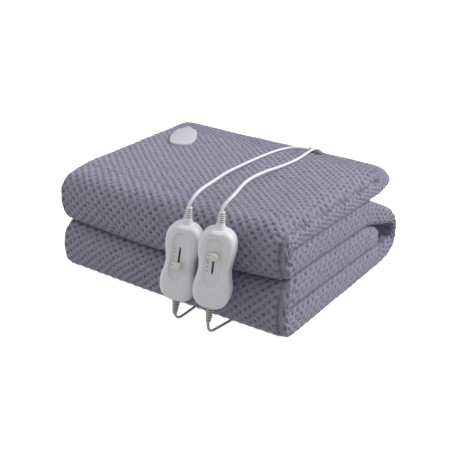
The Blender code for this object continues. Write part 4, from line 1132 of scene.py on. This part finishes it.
def make_slider(side):
    """A flat tab in the housing's colour with a round cream knob, and its stem in the slot."""
    floor = -HOUSING_THICK + DISH_DEEP - TOUCH / 2
    at = CONTROLLERS[side][5]
    place = housing_frame(side) @ Matrix.Translation((0, 0, track_place(at)))
    middle, half = (TAB_LEFT + TAB_RIGHT) / 2, (TAB_RIGHT - TAB_LEFT) / 2
    tab = [
        ring_at(floor - out, power_ring((middle, -TAB_DROP), (half - inset, TAB_HALF - inset), TAB_ROUND, 64))
        for inset, out in TAB_PROFILE
    ]
    knob = [
        circle(Vector((KNOB_X, floor - out, 0)), KNOB_R * share, Vector((1, 0, 0)), Vector((0, 0, 1)), 48)
        for share, out in KNOB_PROFILE
    ]
    stem_half = STEM_WIDE / 2, STEM_LONG / 2
    stem = [
        ring_at(floor - out, power_ring((SLOT_X, 0), [share * size for size in stem_half], BLOCK_ROUND, 32))
        for share, out in STEM_PROFILE
    ]
    body = f"slider_{side}"
    parts = ("tab", tab, "shell", 60), ("knob", knob, "knob_cream", 60), ("stem", stem, "shell", None)
    for part, rings, finish, sharp in parts:
        hard_piece(f"slider_{part}_{side}", rings, place, finish, body, body, sharp)
    pitch = (TRACK_HIGH - TRACK_LOW) / (SETTINGS - 1)
    marks = [(MARK_X, -pitch * i) for i in range(2 if at > 0.5 else 1)]
    make_dots(f"slider_marks_{side}", marks, floor - TAB_THICK, place, body)


def make_relief(name, path, radii, finish, replaced):
    """A tapered strain relief with slots cut into it from two sides in turn, so that it bends."""
    path = [Vector(p) for p in path]
    rings, deep, normal = [], [], None
    last = len(path) - 1
    for i, centre in enumerate(path):
        ahead = (path[min(i + 1, last)] - path[max(i - 1, 0)]).normalized()
        if normal is None:
            normal = (Vector((1, 0, 0)) - ahead * ahead.x).normalized()
        normal = (normal - ahead * normal.dot(ahead)).normalized()
        side = ahead.cross(normal)
        share = i / last
        ring = []
        for c, s in turns(RELIEF_SIDES):
            phase = share * RELIEF_RIBS + (0.5 if c > 0 else 0.0)
            cut = max(0.0, 1 - abs((phase % 1) - 0.5) / RELIEF_SLOT) if 0.04 < share < 0.97 else 0.0
            cut = min(1.0, 1.6 * cut) * min(1.0, 2.2 * abs(c))
            radius = radii[0] + (radii[1] - radii[0]) * share - RELIEF_DEEP * cut
            if share in (0.0, 1.0):
                radius -= 0.0003
            ring.append(centre + radius * (c * normal + s * side))
            deep.append(cut)
        rings.append(ring)
    mesh = closed_mesh(name, *skin_rings(rings))
    # the slots' depth, which the plastic reads to paint shade into them
    mesh.attributes.new("cut", "FLOAT", "POINT").data.foreach_set("value", deep)
    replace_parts(piece(name, mesh, plastic(finish), sharp=70), replaced)


def make_reliefs(side):
    base, up = upper_exit(side)
    path = [base + up * (RELIEF_UP_LONG * i / RELIEF_STEPS) for i in range(RELIEF_STEPS + 1)]
    make_relief(f"strain_relief_up_{side}", path, RELIEF_UP_RADII, "relief_light", f"upper_relief_{side}")
    path = read_route(mains_route(side), np.linspace(0, RELIEF_DOWN_LONG, 97))
    name = f"strain_relief_down_{side}"
    make_relief(name, path, RELIEF_DOWN_RADII, "relief_grey", f"lower_relief_{side}")


def make_cover():
    """The shield-shaped cover, with its corners eased and a bevelled edge."""
    outline = list(COVER_OUTLINE) + [(-x, y) for x, y in reversed(COVER_OUTLINE[1:-1])]
    ring = []
    for (x0, y0), (x1, y1) in zip(outline, outline[1:] + outline[:1]):
        ring += [(x0 + (x1 - x0) * k / 6, y0 + (y1 - y0) * k / 6) for k in range(6)]
    rings = [[(x * share, y * share, up) for x, y in ring] for share, up in COVER_PROFILE]
    hard_piece("terminal_cover", rings, cover_frame(), "plate", "cover_plate", sharp=60)


def make_plug(side):
    """A flat two-pin plug with grip ribs, drawn between the CAD's own sections."""
    y, z, tail = COIL_Y + COIL_OUT, PLUG_THICK / 2, plug_tail(side)
    table = np.array(PLUG_PROFILE)
    rings = []
    for back in np.unique(np.r_[np.linspace(0, table[-1, 0], 89), table[:, 0]]):
        wide, thick = (float(np.interp(back, table[:, 0], table[:, k])) for k in (1, 2))
        on_tail = back < RIBS_TAIL
        rib = RIB_HIGH * max(0.0, math.sin(2 * math.pi * back / RIB_PITCH)) ** 2
        rib = rib if on_tail or RIBS_FROM < back < RIBS_TO else 0.0
        ring = power_ring((y, z), (wide - rib, thick - rib * on_tail), BLOCK_ROUND, 56)
        rings.append([(tail - back, *point) for point in ring])
    name, replaced = f"plug_body_{side}", f"plug_{side}"
    return hard_piece(name, rings, Matrix.Identity(4), "plug_body", replaced, sharp=60)


def make_hard_parts():
    """The cover, the controllers, and a material each for the CAD's own glands and pins."""
    pins, _ = material("pins", PIN_METAL, 0.28, Metallic=1.0)
    make_cover()
    for side in SIDES:
        make_housing(side)
        make_slider(side)
        make_reliefs(side)
        NODES[f"gland_{side}"].material_slots[0].material = plastic("gland_white")
        for number in (1, 2):
            NODES[f"plug_{side}_pin_{number}"].material_slots[0].material = pins


# ---- floor and light
FLOOR_HALF, FLOOR_DOWN = 9.0, 0.0002
FLOOR_GLOW = 0.92
DOME_DIM = 0.10
# columns: where the light comes from, its strength there
DOME_LOBES = (
    ((0.62, 0.33, 0.70), 1.22),
    ((-0.55, -0.45, -0.70), 0.75),
)
# columns: name, place, what it is turned to, size, power
LAMPS = (
    ("key", (1.15, 0.95, 1.15), (0, 0, 0.1), 0.9, 20.5),
    ("fill", (-0.75, -0.75, 0.85), (0, -0.15, 0.1), 0.7, 4.2),
)


def make_lamp(name, place, target, size, power):
    data = bpy.data.lights.new(name, "AREA")
    data.shape = "DISK"
    data.size = size
    data.energy = power
    lamp = bpy.data.objects.new(name, data)
    lamp.location = place
    lamp.rotation_euler = (Vector(target) - Vector(place)).to_track_quat("-Z", "Y").to_euler()
    bpy.context.scene.collection.objects.link(lamp)


def make_floor():
    glow, _ = material("floor", FLOOR_GREY, 0.9, Emission_Strength=FLOOR_GLOW, Emission_Color=(1, 1, 1, 1))
    mesh = bpy.data.meshes.new("floor")
    mesh.from_pydata([(FLOOR_HALF * x, FLOOR_HALF * y, 0) for x, y in ((-1, -1), (1, -1), (1, 1), (-1, 1))],
                     [], [(0, 1, 2, 3)])
    mesh.materials.append(glow)
    floor = bpy.data.objects.new("floor", mesh)
    floor.location.z = -FLOOR_DOWN
    bpy.context.scene.collection.objects.link(floor)
    floor.visible_diffuse = floor.visible_shadow = False  # the dome's lower half stands in for its bounce


def make_dome():
    """Soft light all round, brighter towards the middle of each lobe."""
    world = bpy.data.worlds.new("studio")
    bpy.context.scene.world = world
    world.use_nodes = True
    place = node(world, "ShaderNodeTexCoord")
    total = DOME_DIM
    for direction, strength in DOME_LOBES:
        toward = node(world, "ShaderNodeVectorMath", operation="DOT_PRODUCT")
        toward.inputs[1].default_value = Vector(direction).normalized()
        link(world, place.outputs["Generated"], toward.inputs[0])
        total = maths(world, "ADD", ramp(world, toward.outputs["Value"], 0.0, 1.0, 0.0, strength), total)
    background = world.node_tree.nodes["Background"]
    background.inputs["Color"].default_value = (1, 1, 1, 1)
    link(world, total, background.inputs["Strength"])


make_camera()
lead_routes = make_cords()
make_fleece(lead_routes)
make_hard_parts()
make_floor()
make_dome()
for lamp_values in LAMPS:
    make_lamp(*lamp_values)
bpy.context.scene.view_settings.view_transform = "Standard"
